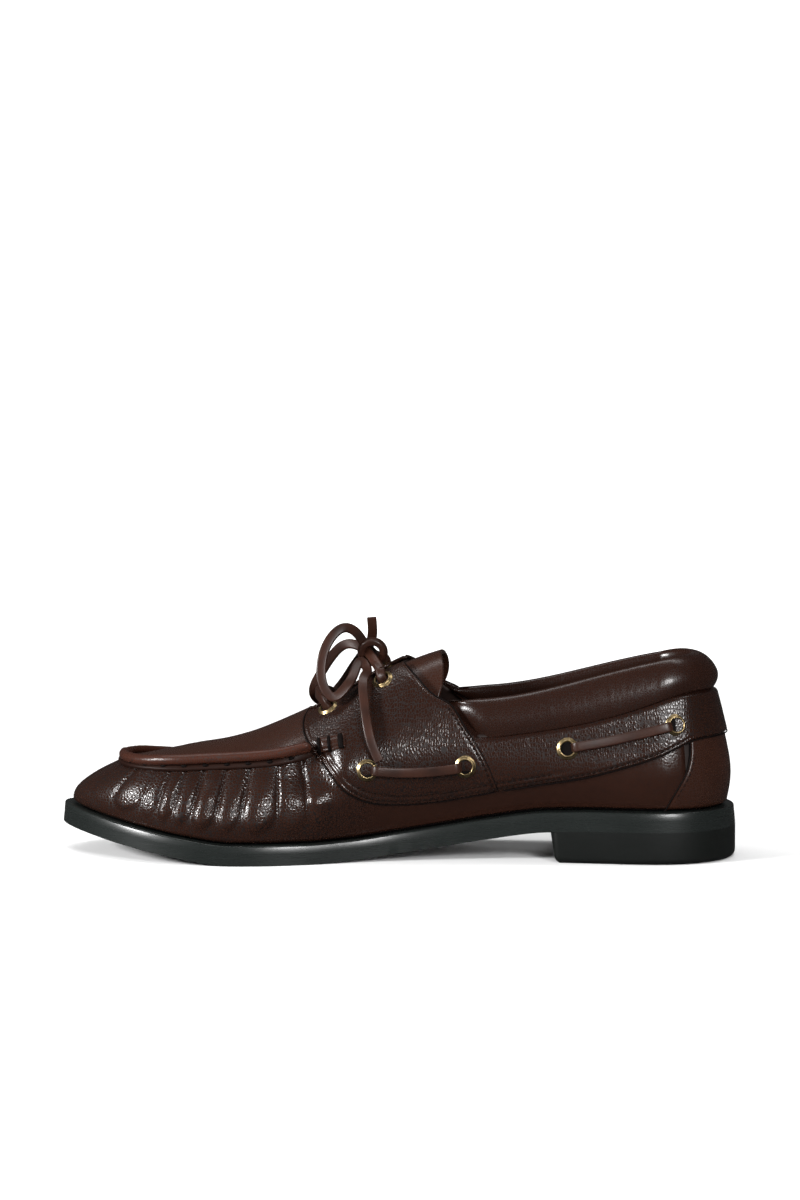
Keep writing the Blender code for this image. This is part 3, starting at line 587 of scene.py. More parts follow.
def grid(long, wide, layers=()):
    """A new sheet of quads with these layers, and the (row, place in the row) of each of its points."""
    shape = bmesh.new()
    bmesh.ops.create_grid(shape, x_segments=long - 1, y_segments=wide - 1, size=0.5)
    for name in layers:
        shape.verts.layers.float.new(name)
    places = {}
    for vert in shape.verts:
        places[vert] = round((vert.co.x + 0.5) * (long - 1)), round((vert.co.y + 0.5) * (wide - 1))
    return shape, places


def close_up(shape, fill=True):
    """Joins points that lie together, fills the open ends, and turns the faces outwards."""
    bmesh.ops.remove_doubles(shape, verts=shape.verts, dist=1e-4)
    if fill:
        bmesh.ops.holes_fill(shape, edges=[e for e in shape.edges if e.is_boundary], sides=0)
    bmesh.ops.recalc_face_normals(shape, faces=shape.faces)


def drape(rows, lift=0.0, layers=None):
    """A sheet of quads through rows of points, moved out along its own normals by lift."""
    rows = array_of(rows)
    long, wide = rows.shape[:2]
    shape, places = grid(long, wide, layers or ())
    for vert, (i, j) in places.items():
        vert.co = rows[i, j]
    shape.normal_update()
    if sum(v.normal.dot(from_middle(v.co)) for v in shape.verts) < 0:
        bmesh.ops.reverse_faces(shape, faces=shape.faces)
        shape.normal_update()
    lift = np.broadcast_to(lift, (long, wide))
    for vert, (i, j) in places.items():
        vert.co += vert.normal * float(lift[i, j])
    for name, values in (layers or {}).items():
        layer = shape.verts.layers.float[name]
        values = np.broadcast_to(values, (long, wide))
        for vert, (i, j) in places.items():
            vert[layer] = float(values[i, j])
    return shape


def direction(path, i):
    """Which way a path runs at its i-th point."""
    return (path[min(i + 1, len(path) - 1)] - path[max(i - 1, 0)]).normalized()


def square_to(ahead, out):
    """The part of a direction that is square to the way ahead."""
    out = Vector(out)
    return (out - ahead * out.dot(ahead)).normalized()


def add_layers(shape, values):
    """Gives every point of a shape the same value of each named layer."""
    for name in values:
        shape.verts.layers.float.new(name)
    for name, value in values.items():
        layer = shape.verts.layers.float[name]
        for vert in shape.verts:
            vert[layer] = value


def carry(path, outs, outline, scale=None):
    """A closed tube: an outline of (across, out) points carried along a path, its out axis along outs."""
    path = [Vector(p) for p in path]
    rows = []
    for i, place in enumerate(path):
        ahead = direction(path, i)
        out = square_to(ahead, outs[i])
        across = ahead.cross(out)
        size = scale[i] if scale is not None else 1.0
        rows.append([place + (across * a + out * b) * size for a, b in [*outline, outline[0]]])
    shape, places = grid(len(rows), len(rows[0]))
    for vert, (i, j) in places.items():
        vert.co = rows[i][j]
    close_up(shape)
    return shape


def merge_shapes(shapes):
    """One bmesh out of several."""
    whole = bmesh.new()
    for shape in shapes:
        mesh = bpy.data.meshes.new("part")
        shape.to_mesh(mesh)
        shape.free()
        whole.from_mesh(mesh)
        bpy.data.meshes.remove(mesh)
    return whole


CORNER_STEPS = 3


def rounded(width, thick, corner):
    """The outline of a strap: a rectangle of (across, out) points with rounded corners."""
    points = []
    for centre_a, centre_b, start in ((1, 1, 0), (-1, 1, 1), (-1, -1, 2), (1, -1, 3)):
        for i in range(CORNER_STEPS + 1):
            turn = (start + i / CORNER_STEPS) * QUARTER_TURN
            a = centre_a * (width / 2 - corner) + corner * math.cos(turn)
            b = centre_b * (thick / 2 - corner) + corner * math.sin(turn)
            points.append((a, b))
    return points


def oval(width, thick, count):
    """The outline of a round or oval rod."""
    return [
        (width / 2 * math.cos(math.tau * i / count), thick / 2 * math.sin(math.tau * i / count))
        for i in range(count)
    ]


def transported(path, first):
    """Out directions along a path that turn with it and don't twist."""
    path = [Vector(p) for p in path]
    outs = [Vector(first)]
    for i in range(len(path)):
        outs.append(square_to(direction(path, i), outs[-1]))
    return outs[1:]


def turned(profile, steps, closed):
    """A profile of (radius, height) turned about the z axis."""
    shape = bmesh.new()
    corners = [shape.verts.new((radius, 0.0, height)) for radius, height in profile]
    pairs = zip([corners[-1], *corners], corners) if closed else zip(corners, corners[1:])
    edges = [shape.edges.new(pair) for pair in pairs]
    axis = {"axis": (0, 0, 1), "cent": (0, 0, 0), "angle": math.tau}
    bmesh.ops.spin(shape, geom=corners + edges, steps=steps, use_merge=True, **axis)
    close_up(shape, fill=False)
    return shape


def seat(shape, place, normal):
    """Sets a shape made round the z axis down at a place, with its axis along a normal."""
    turn = Vector((0, 0, 1)).rotation_difference(normal).to_matrix().to_4x4()
    bmesh.ops.transform(shape, matrix=Matrix.Translation(place) @ turn, verts=shape.verts)
    return shape


# The dent under each end of the rim: where it lies, how long and deep it is, and where it starts and ends in
# height and, at its inner limit, in distance from the centre line.
DENT_X, DENT_LONG, DENT_DEEP = -33.5, 9.5, 5.4
DENT_FOOT, DENT_FULL, DENT_FADES, DENT_TOP = 26.0, 38.0, 45.0, 54.0
DENT_ASIDE = (8.0, 18.0)


def dent(shape):
    """Sinks the wall under the rim's ends, where the seam pulls the wing's corner and the skirt inwards."""
    for vert in shape.verts:
        x, y, height = vert.co
        if abs(x - DENT_X) < 3 * DENT_LONG and DENT_FOOT < height < DENT_TOP:
            tall = float(ease(DENT_FOOT, DENT_FULL, height) * (1 - ease(DENT_FADES, DENT_TOP, height)))
            tall *= float(ease(*DENT_ASIDE, abs(y)))
            vert.co.y -= math.copysign(DENT_DEEP * float(bell(x, DENT_X, DENT_LONG)) * tall, y)


def loafer():
    """The sizes, colours and light that a user can change."""
    return bpy.context.scene.loafer


def link_mesh(name, shape, material):
    """Makes a shape into a mesh object with one material."""
    mesh = bpy.data.meshes.new(name)
    shape.to_mesh(mesh)
    shape.free()
    mesh.materials.append(material)
    made = bpy.data.objects.new(name, mesh)
    bpy.context.scene.collection.objects.link(made)
    return made


def add_piece(name, shape, kind, slot, nodes=(), thick=0.0, sharp=None):
    """Makes a shape in millimetres into an object of the shoe, in metres, at the origin."""
    if slot in ("leather", "rolled_leather", "lining"):
        dent(shape)
    bmesh.ops.scale(shape, verts=shape.verts, vec=(MM, MM, MM))
    piece = link_mesh(name, shape, material_of(kind))
    piece.data.shade_smooth()
    if sharp is not None:
        piece.data.set_sharp_from_angle(angle=math.radians(sharp))
    if thick:
        wall = piece.modifiers.new("thickness", "SOLIDIFY")
        wall.thickness = thick * MM
        wall.offset = -1.0
    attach(piece, "root")
    if nodes:
        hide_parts(*nodes)
    return piece


def add_panel(name, rows, lift, layers, kind, nodes=()):
    """Drapes a leather panel over rows of points and gives it the leather's thickness."""
    add_piece(name, drape(rows, lift, layers), kind, "leather", nodes, loafer().panel_thick / MM)


# Materials.

MIX_FIRST, MIX_SECOND, MIX_RESULT = 6, 7, 2
EVEN = (1.0, 1.0, 1.0)

# Leather. Sizes and depths are in millimetres. A furrow's and a dome's sides are shares of a pebble's size.
LEATHER_IOR = 1.5
LEATHER_GLOSS = 0.3
# Colour of the grain's furrows: painted shade, as if the furrows lay in shadow.
FURROW_SHADE = "#0c0605"
FURROW_ROUGHER = 0.35
FURROW_SIDE = (0.02, 0.14)
DOME_SIDE = (0.0, 0.36)
PEBBLE_DISORDER = 0.75
WARP_SIZE, WARP_AMOUNT = 2.5, 0.5
PATCH_SIZE, PATCH_RANGE, PATCH_LEAST = 8.0, (0.3, 0.62), 0.75
LUMP_SIZE = 6.0
PORE_SIZE, PORE_DEPTH, PORE_STRENGTH = 0.5, 0.006, 0.5
TONE_SIZE = 26.0


def linear(colour):
    """A hex sRGB colour as linear red, green and blue with alpha."""
    parts = [int(colour[i : i + 2], 16) / 255 for i in (1, 3, 5)]
    return (*(c / 12.92 if c <= 0.04045 else ((c + 0.055) / 1.055) ** 2.4 for c in parts), 1.0)


def add_node(tree, kind, settings=(), inputs=()):
    """A node with its settings, and with its inputs set to values or linked from sockets."""
    made = tree.nodes.new(kind)
    for name, value in dict(settings).items():
        setattr(made, name, value)
    for name, value in dict(inputs).items():
        socket = made.inputs[name]
        if isinstance(value, bpy.types.NodeSocket):
            tree.links.new(value, socket)
        else:
            socket.default_value = value
    return made


def start_material(name, ior, metallic=0.0, gloss=0.5):
    material = bpy.data.materials.new(name)
    material.use_nodes = True
    tree = material.node_tree
    shader = tree.nodes["Principled BSDF"]
    shader.inputs["IOR"].default_value = ior
    shader.inputs["Metallic"].default_value = metallic
    shader.inputs["Specular IOR Level"].default_value = gloss
    return material, tree, shader


def object_place(tree):
    return add_node(tree, "ShaderNodeTexCoord").outputs["Object"]


def scaled(tree, where, scale):
    return add_node(tree, "ShaderNodeMapping", inputs={"Vector": where, "Scale": scale}).outputs["Vector"]


def noise(tree, where, size, detail=2.0):
    """Soft clouds, this many millimetres across."""
    inputs = {"Vector": where, "Scale": 1 / (size * MM), "Detail": detail}
    return add_node(tree, "ShaderNodeTexNoise", inputs=inputs)


def remap(tree, value, start, end, low=0.0, high=1.0, soft=False):
    """A value that goes from low to high while another goes from start to end."""
    settings = {"interpolation_type": "SMOOTHSTEP"} if soft else {}
    inputs = {"Value": value, "From Min": start, "From Max": end, "To Min": low, "To Max": high}
    return add_node(tree, "ShaderNodeMapRange", settings, inputs).outputs["Result"]


def mixed(tree, share, first, second):
    """A colour between two others."""
    inputs = {"Factor": share, MIX_FIRST: first, MIX_SECOND: second}
    return add_node(tree, "ShaderNodeMix", {"data_type": "RGBA"}, inputs).outputs[MIX_RESULT]


def worked_out(tree, operation, first, second):
    return add_node(tree, "ShaderNodeMath", {"operation": operation}, {0: first, 1: second}).outputs[0]


def point_value(tree, name):
    """The value of a shape's own layer."""
    return add_node(tree, "ShaderNodeAttribute", {"attribute_name": name}).outputs["Fac"]


def bumped(tree, height, deep, strength, normal=None):
    """A normal that follows a height, this many millimetres deep."""
    inputs = {"Strength": strength, "Distance": deep * MM, "Height": height}
    if normal is not None:
        inputs["Normal"] = normal
    return add_node(tree, "ShaderNodeBump", inputs=inputs).outputs["Normal"]


def finish(tree, shader, colour, roughness, normal=None):
    tree.links.new(colour, shader.inputs["Base Color"])
    tree.links.new(roughness, shader.inputs["Roughness"])
    if normal is not None:
        tree.links.new(normal, shader.inputs["Normal"])


def leather(name, colours, roughness, grain, depth, lumps, stretch=EVEN, fold=EVEN, gloss=LEATHER_GLOSS):
    """Dyed, polished leather: pebbles parted by dull furrows darkened with painted shade, over low lumps,
    lighter where rubbed and, along the skirt's fold ridges, with painted light.
    """
    material, tree, shader = start_material(name, LEATHER_IOR, gloss=gloss)
    where = object_place(tree)
    placed = scaled(tree, where, stretch)
    warp = noise(tree, placed, WARP_SIZE * grain).outputs["Color"]
    shift = {0: warp, "Scale": WARP_AMOUNT * grain * MM}
    away = add_node(tree, "ShaderNodeVectorMath", {"operation": "SCALE"}, shift).outputs[0]
    moved = add_node(tree, "ShaderNodeVectorMath", {"operation": "ADD"}, {0: placed, 1: away}).outputs[0]
    pebbles = {"Vector": moved, "Scale": 1 / (grain * MM), "Randomness": PEBBLE_DISORDER}
    cells = add_node(tree, "ShaderNodeTexVoronoi", {"feature": "DISTANCE_TO_EDGE"}, pebbles)
    top = remap(tree, cells.outputs["Distance"], *FURROW_SIDE, soft=True)
    dome = remap(tree, cells.outputs["Distance"], *DOME_SIDE, soft=True)
    uneven = noise(tree, where, PATCH_SIZE).outputs["Fac"]
    uneven = remap(tree, uneven, *PATCH_RANGE, low=PATCH_LEAST)
    amount = worked_out(tree, "MULTIPLY", point_value(tree, "grain"), uneven)
    furrow = worked_out(tree, "MULTIPLY", worked_out(tree, "SUBTRACT", 1.0, top), amount)

    low = noise(tree, scaled(tree, where, fold), LUMP_SIZE).outputs["Fac"]
    fine = noise(tree, where, PORE_SIZE).outputs["Fac"]
    bent = bumped(tree, low, lumps, 1.0)
    bent = bumped(tree, dome, depth, amount, bent)
    bent = bumped(tree, fine, PORE_DEPTH, PORE_STRENGTH, bent)

    broad = noise(tree, where, TONE_SIZE).outputs["Fac"]
    # The rub layer: real rubbing on edges and strips, and on the skirt also painted light on the fold ridges.
    rub_and_sheen_share = point_value(tree, "rub")
    dye = (*loafer().leather_dye, 1.0)
    base, dark, rub, furrow_shade_colour = [tuple(np.multiply(linear(colour), dye)) for colour in (*colours, FURROW_SHADE)]
    tone = mixed(tree, broad, dark, base)
    tone = mixed(tree, rub_and_sheen_share, tone, rub)
    # Painted shade: the furrows are mixed towards a near-black colour.
    tone = mixed(tree, furrow, tone, furrow_shade_colour)
    finish(tree, shader, tone, remap(tree, furrow, 0.0, 1.0, roughness, roughness + FURROW_ROUGHER), bent)
    return material


def plain_leather(name, base, dark, roughness, grain=0.5, depth=0.05, gloss=LEATHER_GLOSS):
    """Smooth leather for laces, thread and lining, with pores and a little change of tone along it."""
    material, tree, shader = start_material(name, LEATHER_IOR, gloss=gloss)
    where = object_place(tree)
    pores = noise(tree, where, grain, 4.0).outputs["Fac"]
    tone = remap(tree, noise(tree, where, 9.0, 3.0).outputs["Fac"], 0.3, 0.7)
    colour = mixed(tree, tone, linear(dark), linear(base))
    bent = bumped(tree, pores, depth, 0.6)
    finish(tree, shader, colour, remap(tree, pores, 0.0, 1.0, roughness - 0.08, roughness + 0.08), bent)
    return material


def burnished_edge(name, base, light, roughness):
    """Sole edge: rubber and leather board, inked black and burnished, with fine scratches along the edge."""
    material, tree, shader = start_material(name, LEATHER_IOR, gloss=0.4)
    where = object_place(tree)
    scratches = noise(tree, scaled(tree, where, (0.05, 0.05, 1.0)), 0.5, 3.0).outputs["Fac"]
    tone = noise(tree, where, 18.0).outputs["Fac"]
    colour = mixed(tree, tone, linear(base), linear(light))
    bent = bumped(tree, scratches, 0.03, 0.3)
    finish(tree, shader, colour, remap(tree, scratches, 0.0, 1.0, roughness - 0.04, roughness + 0.06), bent)
    return material


def aged_brass(name, base, dark, roughness):
    """Turned brass, dipped dark and rubbed bright in patches."""
    material, tree, shader = start_material(name, LEATHER_IOR, metallic=1.0)
    stain = noise(tree, object_place(tree), 1.6, 4.0).outputs["Fac"]
    bright = remap(tree, stain, 0.2, 0.65)
    colour = mixed(tree, bright, linear(dark), linear(base))
    finish(tree, shader, colour, remap(tree, bright, 0.0, 1.0, roughness + 0.15, roughness))
    return material


@lru_cache(maxsize=None)
def material_of(kind):
    """The shoe's materials by plain name, each made once."""
    if kind == "tumbled":
        # Full-grain calf, drum-tumbled and polished: shiny flat pebbles in a net of dull furrows.
        colours = ("#22120c", "#190c08", "#24140e")
        return leather("tumbled_calf", colours, 0.15, grain=1.4, depth=0.068, lumps=0.1)
    if kind == "drawn":
        # The same calf drawn over the instep and the quarters, where its pebbles are pulled upright.
        pull = {"stretch": (1.2, 1.0, 0.65), "fold": (1.5, 1.0, 0.7)}
        colours = ("#21110b", "#180b07", "#24150f")
        return leather("drawn_calf", colours, 0.18, grain=1.3, depth=0.06, lumps=0.1, **pull)
    if kind == "smooth":
        # The same calf lasted flat, with its grain nearly ironed out: a satin sheen.
        colours = ("#2b160e", "#20100a", "#2d1a12")
        return leather("smooth_calf", colours, 0.26, grain=1.1, depth=0.02, lumps=0.05)
    if kind == "padded":
        # The same calf drawn over the collar's foam, in soft upright wrinkles.
        colours, fold = ("#21110b", "#180b07", "#24140e"), (2.2, 1.6, 0.5)
        return leather("padded_calf", colours, 0.22, grain=1.1, depth=0.02, lumps=0.12, fold=fold)
    if kind == "roll":
        # Vegetable-tanned strip, rolled wet and burnished: redder, with a soft shine.
        colours = ("#34160d", "#26100a", "#3b2016")
        return leather("burnished_roll", colours, 0.24, grain=1.0, depth=0.04, lumps=0.15)
    if kind == "lip":
        # The skirt's turned edge under the roll, dyed near black: a dull dark line.
        colours = ("#20100b", "#160b07", "#25130d")
        return leather("turned_lip", colours, 0.42, grain=1.1, depth=0.05, lumps=0.1, gloss=0.1)
    if kind == "lining":
        # Unpolished calf lining: matt and brown.
        return plain_leather("calf_lining", "#1c110d", "#120a08", 0.55)
    if kind == "lace":
        # Oiled leather thong, cut square: satin faces with a trace of red.
        return plain_leather("oiled_thong", "#2c170f", "#1d0f0a", 0.36, grain=0.6, depth=0.06)
    if kind == "thread":
        # Waxed linen thread in the leather's own colour.
        return plain_leather("waxed_thread", "#120a07", "#0c0605", 0.6, grain=0.25, depth=0.05, gloss=0.06)
    if kind == "ink_and_shade":
        # Black edge ink on cut leather edges, also used for black thread; the same black is painted shade
        # along the overlays' edges, in the rim's stitch slots and inside the eyelets.
        return plain_leather("inked_edge", "#0c0807", "#070505", 0.6, gloss=0.04)
    if kind == "sole":
        # Sole edge of rubber and leather board, inked and burnished: black, its base kept greyer than the
        # heel's as a painted sheen.
        return burnished_edge("burnished_sole_edge", "#101312", "#171a19", 0.27)
    if kind == "heel":
        # Heel of stacked board, sanded, inked and waxed: an even, dull black.
        return burnished_edge("waxed_heel_edge", "#0a0c0b", "#0e100f", 0.36)
    return aged_brass("aged_brass", "#b09a72", "#4e3f2a", 0.3)


# Pieces.

# The skirt, back to front. Down in the gathers is 0 at the rim and 1 at their lower end.
SKIRT_BACK_RUN = -12.0
SKIRT_ROWS = 54
SKIRT_UNDER_OVERLAY, SKIRT_UNDER_RIM = 5.0, 0.8
SKIRT_MEETS_RIM = (-30.0, -40.0)
GATHERS_BELOW_SHOULDER, GATHERS_ABOVE_WELT = 3.0, 6.6
GATHER_START, GATHER_GROWN = 140.0, 150.0
SHIFT_FADES = (225.0, 250.0)
FOLD_LEAN, FOLD_ROUND = 1.3, 0.75
FOLD_AT_RIM, FOLD_GROWN = 0.3, 0.62
FOLD_END, FOLD_END_BULGE, FOLD_END_SOFT = 0.9, 0.2, 0.2
CREASE_WIDE, CREASE_OPENS = 0.75, 0.7
CREASE_DEEP, CREASE_MOST = 0.75, 1.2
CREASE_FADES = (0.5, 0.95)
SKIRT_TUCK_LONG = 1.2
SKIRT_SMOOTH, SKIRT_SMOOTHER = (0.9, 1.5), 0.75
SKIRT_GRAIN_X, SKIRT_GRAIN_BACK = (0.0, -30.0), 0.3
# How much the skirt is rubbed, and the painted sheen that grows with a fold's height, up to a most.
FOLD_RUB, RUB_AND_SHEEN_BY_HEIGHT, RUB_MOST = 0.15, 0.55, 0.8


def gather(side, run, down):
    """How far the skirt moves out at a place between the rim (0) and the gathers' end (1)."""
    shift = 0.0 if side == INNER else OUTER_SHIFT
    loose = 1 - ease(*SHIFT_FADES, GATHER_RIM)
    lines = GATHER_RIM + shift * loose + (GATHER_END - GATHER_RIM) * min(down, 1.0)
    k = int(np.clip(np.searchsorted(lines, run), 1, len(lines) - 1))
    t = float(np.clip((run - lines[k - 1]) / (lines[k] - lines[k - 1]), 0.0, 1.0)) ** FOLD_LEAN
    arch = 4 * t * (1 - t)
    end = FOLD_END + FOLD_END_BULGE * arch
    fold = float(GATHER_HEIGHT[k]) * arch**FOLD_ROUND
    fold *= FOLD_AT_RIM + (1 - FOLD_AT_RIM) * float(ease(0.0, FOLD_GROWN, down))
    fold *= 1 - float(ease(end - FOLD_END_SOFT, end, down))
    crease = bell(run, lines, CREASE_WIDE + CREASE_OPENS * down) * np.minimum(GATHER_HEIGHT, CREASE_MOST)
    crease = float(crease.sum()) * CREASE_DEEP * (1 - float(ease(*CREASE_FADES, down)))
    front = float(ease(GATHER_START, GATHER_GROWN, run))
    return front * (fold - crease) * loafer().fold_height


def skirt_runs():
    back = np.linspace(SKIRT_BACK_RUN, GATHER_START, 88, endpoint=False)
    side = np.linspace(GATHER_START, STRAIGHT_RUN, 84, endpoint=False)
    toe = np.linspace(STRAIGHT_RUN, STRAIGHT_RUN + TOE_RUN, 122)
    return [*back, *side, *toe]


def skirt_row(side, run):
    """One column of the skirt: its points, how far each moves out, how much grain it has, and how much rub
    and painted sheen: lighter on the raised folds, darker in the creases and none low on the wall.
    """
    here = column_at(side, run)
    x = here.foot_x
    under_overlay = here.at_height(float(lower_edge(x)) + SKIRT_UNDER_OVERLAY)
    under_rim = here.shoulder + SKIRT_UNDER_RIM
    end = under_overlay + (under_rim - under_overlay) * float(ease(*SKIRT_MEETS_RIM, x))
    gathers_end = here.at_height(float(welt_top(x)) + GATHERS_ABOVE_WELT)
    rim = here.shoulder - GATHERS_BELOW_SHOULDER
    towards_toe = SKIRT_GRAIN_BACK + (1 - SKIRT_GRAIN_BACK) * float(ease(*SKIRT_GRAIN_X, x))
    points, lifts, grains, rubs_and_sheens = [], [], [], []
    for share in np.linspace(0, 1, SKIRT_ROWS):
        length = end * share
        points.append(here.place(length))
        down = (rim - length) / (rim - gathers_end)
        moved = gather(side, run, float(np.clip(down, 0.0, 1.3)))
        tuck = FOOT_TUCK * (1 - float(ease(0.0, SKIRT_TUCK_LONG, length)))
        lifts.append(SKIN + moved + tuck)
        smooth_wall = float(ease(*SKIRT_SMOOTH, down))
        grains.append((1.0 - SKIRT_SMOOTHER * smooth_wall) * towards_toe)
        # Rub and painted light: the lighter colour grows with the fold's height, so ridges look lit and
        # creases shaded, and stops below the gathers.
        rubs_and_sheens.append(float(np.clip(FOLD_RUB + RUB_AND_SHEEN_BY_HEIGHT * moved, 0.0, RUB_MOST)) * (1 - smooth_wall))
    return points, lifts, grains, rubs_and_sheens


def build_skirt():
    points, lifts, grains, rubs_and_sheens = zip(*[skirt_row(side, run) for side, run in both_sides(skirt_runs())])
    layers = {"grain": np.array(grains), "rub": np.array(rubs_and_sheens)}
    add_panel("skirt", points, np.array(lifts), layers, "tumbled", ["upper"])


PLUG_BACK_X = -39.5
PLUG_UNDER_WINGS = 9.0
PLUG_WING_ASIDE = (9.5, 13.0)
PLUG_SWELL = 1.1
PLUG_SWELLS_X = (-75.0, -95.0)
PLUG_GRAIN_X = (-75.0, -45.0)


def plug_half(side, x):
    """Half the plug's width."""
    if x > TOE_CENTRE_X:
        return float(reach[side](x))
    ahead = (abs(x - TOE_CENTRE_X) / APRON_LENGTH) ** APRON_SQUARENESS
    return float(reach[side](TOE_CENTRE_X)) * (1 - ahead) ** (1 / APRON_SQUARENESS)


def build_plug():
    """The plug inside the rim, running back under the saddle's wings."""
    front = TOE_CENTRE_X - APRON_LENGTH + GAP
    front_half = 0.5 * (1 - np.cos(np.linspace(0, QUARTER_TURN, 30)))
    along = np.concatenate([front_half, np.linspace(0.5, 1.0, 60)[1:]])
    across = np.linspace(-1, 1, 81)
    rows = []
    for share in along:
        row = []
        for v in across:
            side = INNER if v < 0 else OUTER
            aside_at_back = abs(v) * float(reach[side](PLUG_BACK_X))
            back = PLUG_BACK_X + PLUG_UNDER_WINGS * float(ease(*PLUG_WING_ASIDE, aside_at_back))
            x = front + (back - front) * share
            row.append(on_top(side, x, abs(v) * plug_half(side, x)))
        rows.append(row)
    x = array_of(rows)[:, :, 0]
    swell = PLUG_SWELL * ease(*PLUG_SWELLS_X, x) * (1 - np.abs(across) ** 3) * ease(0.0, 0.25, along)[:, None]
    layers = {"grain": 0.25 + 0.5 * ease(*PLUG_GRAIN_X, x), "rub": 0.25}
    add_panel("plug", rows, SKIN + swell, layers, "smooth")


LINING_OVER_GROOVE = 2.0
LINING_FROM_THROAT = 1.2
LINING_THICK = 0.5


def build_lining():
    """The lining inside the wall, from the insole up to the collar and the throat."""
    for word, side in SIDES.items():
        rows = []
        for run in [*np.linspace(-HEEL_RUN, 0, 34, endpoint=False), *np.linspace(0, 175, 110)]:
            here = column_at(side, run)
            x = here.foot_x
            if x <= THROAT_TOP_X:
                end = here.at_radius(throat_half(x) + LINING_FROM_THROAT)
            else:
                end = here.at_height(opening_edge(x) + (0.0 if x < SADDLE_FOOT_X else LINING_OVER_GROOVE))
            rows.append([here.place(end * share) for share in np.linspace(0, 1, 30)])
        add_piece(f"lining_{word}", drape(rows, LINING_DEPTH), "lining", "lining", (), LINING_THICK)


def throat_half(x):
    if x <= THROAT_FRONT_X:
        return 0.0
    run = min((x - THROAT_FRONT_X) / THROAT_HALF, 1.0)
    return THROAT_HALF * math.sqrt(1 - (1 - run) ** 2)


def opening_edge(x):
    """The height at which the wall ends: the saddle's slope, and behind it the collar's groove."""
    if x >= SADDLE_FOOT_X:
        return float(groove(x))
    run = (x - THROAT_TOP_X) / (SADDLE_FOOT_X - THROAT_TOP_X)
    high = float(crown(THROAT_TOP_X)) - SADDLE_BELOW_CROWN
    return high + (float(groove(SADDLE_FOOT_X)) - high) * run


# The overlays: the quarters with the back strap, the counter, the saddle's wings and the tabs.

QUARTER_FRONT_RUN = 92.0
STRAP_START_X = 121.0
STRAP_FULL_X = 130.0
STRAP_THICKER = 0.9
CUT_EDGE = 1.25
QUARTER_OVER_GROOVE = 0.6
QUARTER_TOP_FALL, QUARTER_TOP_LONG = 1.3, 2.6
NEAR_ROW_STOPS, FAR_ROW_STOPS = (128.0, 133.0), (80.0, 70.0)
# How far the two rows of stitches lie from the cut edge.
NEAR_ROW, FAR_ROW = 1.7, 4.2
ROW_DEEP, ROW_WIDE = 0.35, 0.6
EDGE_STEPS = (0.0, 0.25, 0.6, 1.0, 1.4, 1.8, 2.2, 2.6, 3.0, 3.4, 3.8, 4.4, 5.2)


def strap_lift(x):
    """How much higher the back strap stands than the quarter."""
    return STRAP_THICKER * float(ease(STRAP_START_X, STRAP_FULL_X, x))


def edge_fall(distance, thick, turn=0.9):
    """How far an overlay's cut edge rolls down, at a distance from it."""
    return -thick * np.sqrt(np.clip(1 - np.clip(np.asarray(distance, float) / turn, 0.0, 1.0), 0.0, 1.0) ** 3)


def channel(distance, at):
    """The groove that a row of stitches pulls into the leather."""
    return -ROW_DEEP * bell(np.asarray(distance, float), at, ROW_WIDE)


def spread(end):
    """Distances from an edge: fine close to it, and even farther on."""
    fine = [step for step in EDGE_STEPS if step < end * 0.7]
    return [*fine, *np.linspace(fine[-1], end, 24)[1:]]


def build_quarters():
    """The quarters and the back strap: one overlay from saddle to saddle round the heel."""
    runs = [*np.linspace(QUARTER_FRONT_RUN, 0, 84, endpoint=False), *np.linspace(0, -HEEL_RUN, 44)]
    rows, lifts = [], []
    for side, run in both_sides(runs):
        here = column_at(side, run)
        x = here.foot_x
        low = here.at_height(float(lower_edge(x)))
        high = here.at_height(opening_edge(x) + QUARTER_OVER_GROOVE)
        distances = np.array(spread(high - low))
        strap = strap_lift(x)
        lift = OVERLAY + strap + edge_fall(distances, CUT_EDGE + strap)
        lift -= (QUARTER_TOP_FALL + strap) * (1 - ease(0.0, QUARTER_TOP_LONG, (high - low) - distances))
        lift += channel(distances, NEAR_ROW) * (1 - float(ease(*NEAR_ROW_STOPS, x)))
        lift += channel(distances, FAR_ROW) * float(ease(*FAR_ROW_STOPS, x))
        rows.append([here.place(low + d) for d in distances])
        lifts.append(lift)
    add_panel("quarters", rows, np.array(lifts), {"grain": 0.85, "rub": 0.1}, "drawn")


COUNTER_FOOT_X = 130.0
COUNTER_TOP = 56.5
COUNTER_ABOVE_SKIRT = 0.55


def build_counter():
    """The counter: the lower piece round the heel, its front edges lapped over the skirt."""
    seam = through(COUNTER_SEAM, count=40)
    order = np.argsort(seam[:, 1])
    low = wall_foot(COUNTER_FOOT_X)
    rows, lifts = [], []
    for height in low + np.linspace(0, 1, 44) * (COUNTER_TOP - low):
        seam_x = float(np.interp(height, seam[order, 1], seam[order, 0]))
        row = []
        for side in (INNER, OUTER):
            front = run_of(side, seam_x, height)
            half = []
            for d in np.linspace(0, 1, 52):
                run = front + (-HEEL_RUN - front) * (d**1.15)
                here = column_at(side, run)
                foot = wall_foot(here.foot_x)
                z = foot + (height - low) * (COUNTER_TOP - foot) / (COUNTER_TOP - low)
                lift = SKIN + COUNTER_ABOVE_SKIRT + float(edge_fall(abs(run - front) * 0.9, 1.0))
                lift += FOOT_TUCK * (1 - float(ease(0.0, 1.4, z - foot)))
                half.append((here.place(here.at_height(z)), lift))
            row += half if side == INNER else half[-2::-1]
        rows.append([place for place, _ in row])
        lifts.append([lift for _, lift in row])
    add_panel("counter", rows, np.array(lifts), {"grain": 0.35, "rub": 0.1}, "smooth")


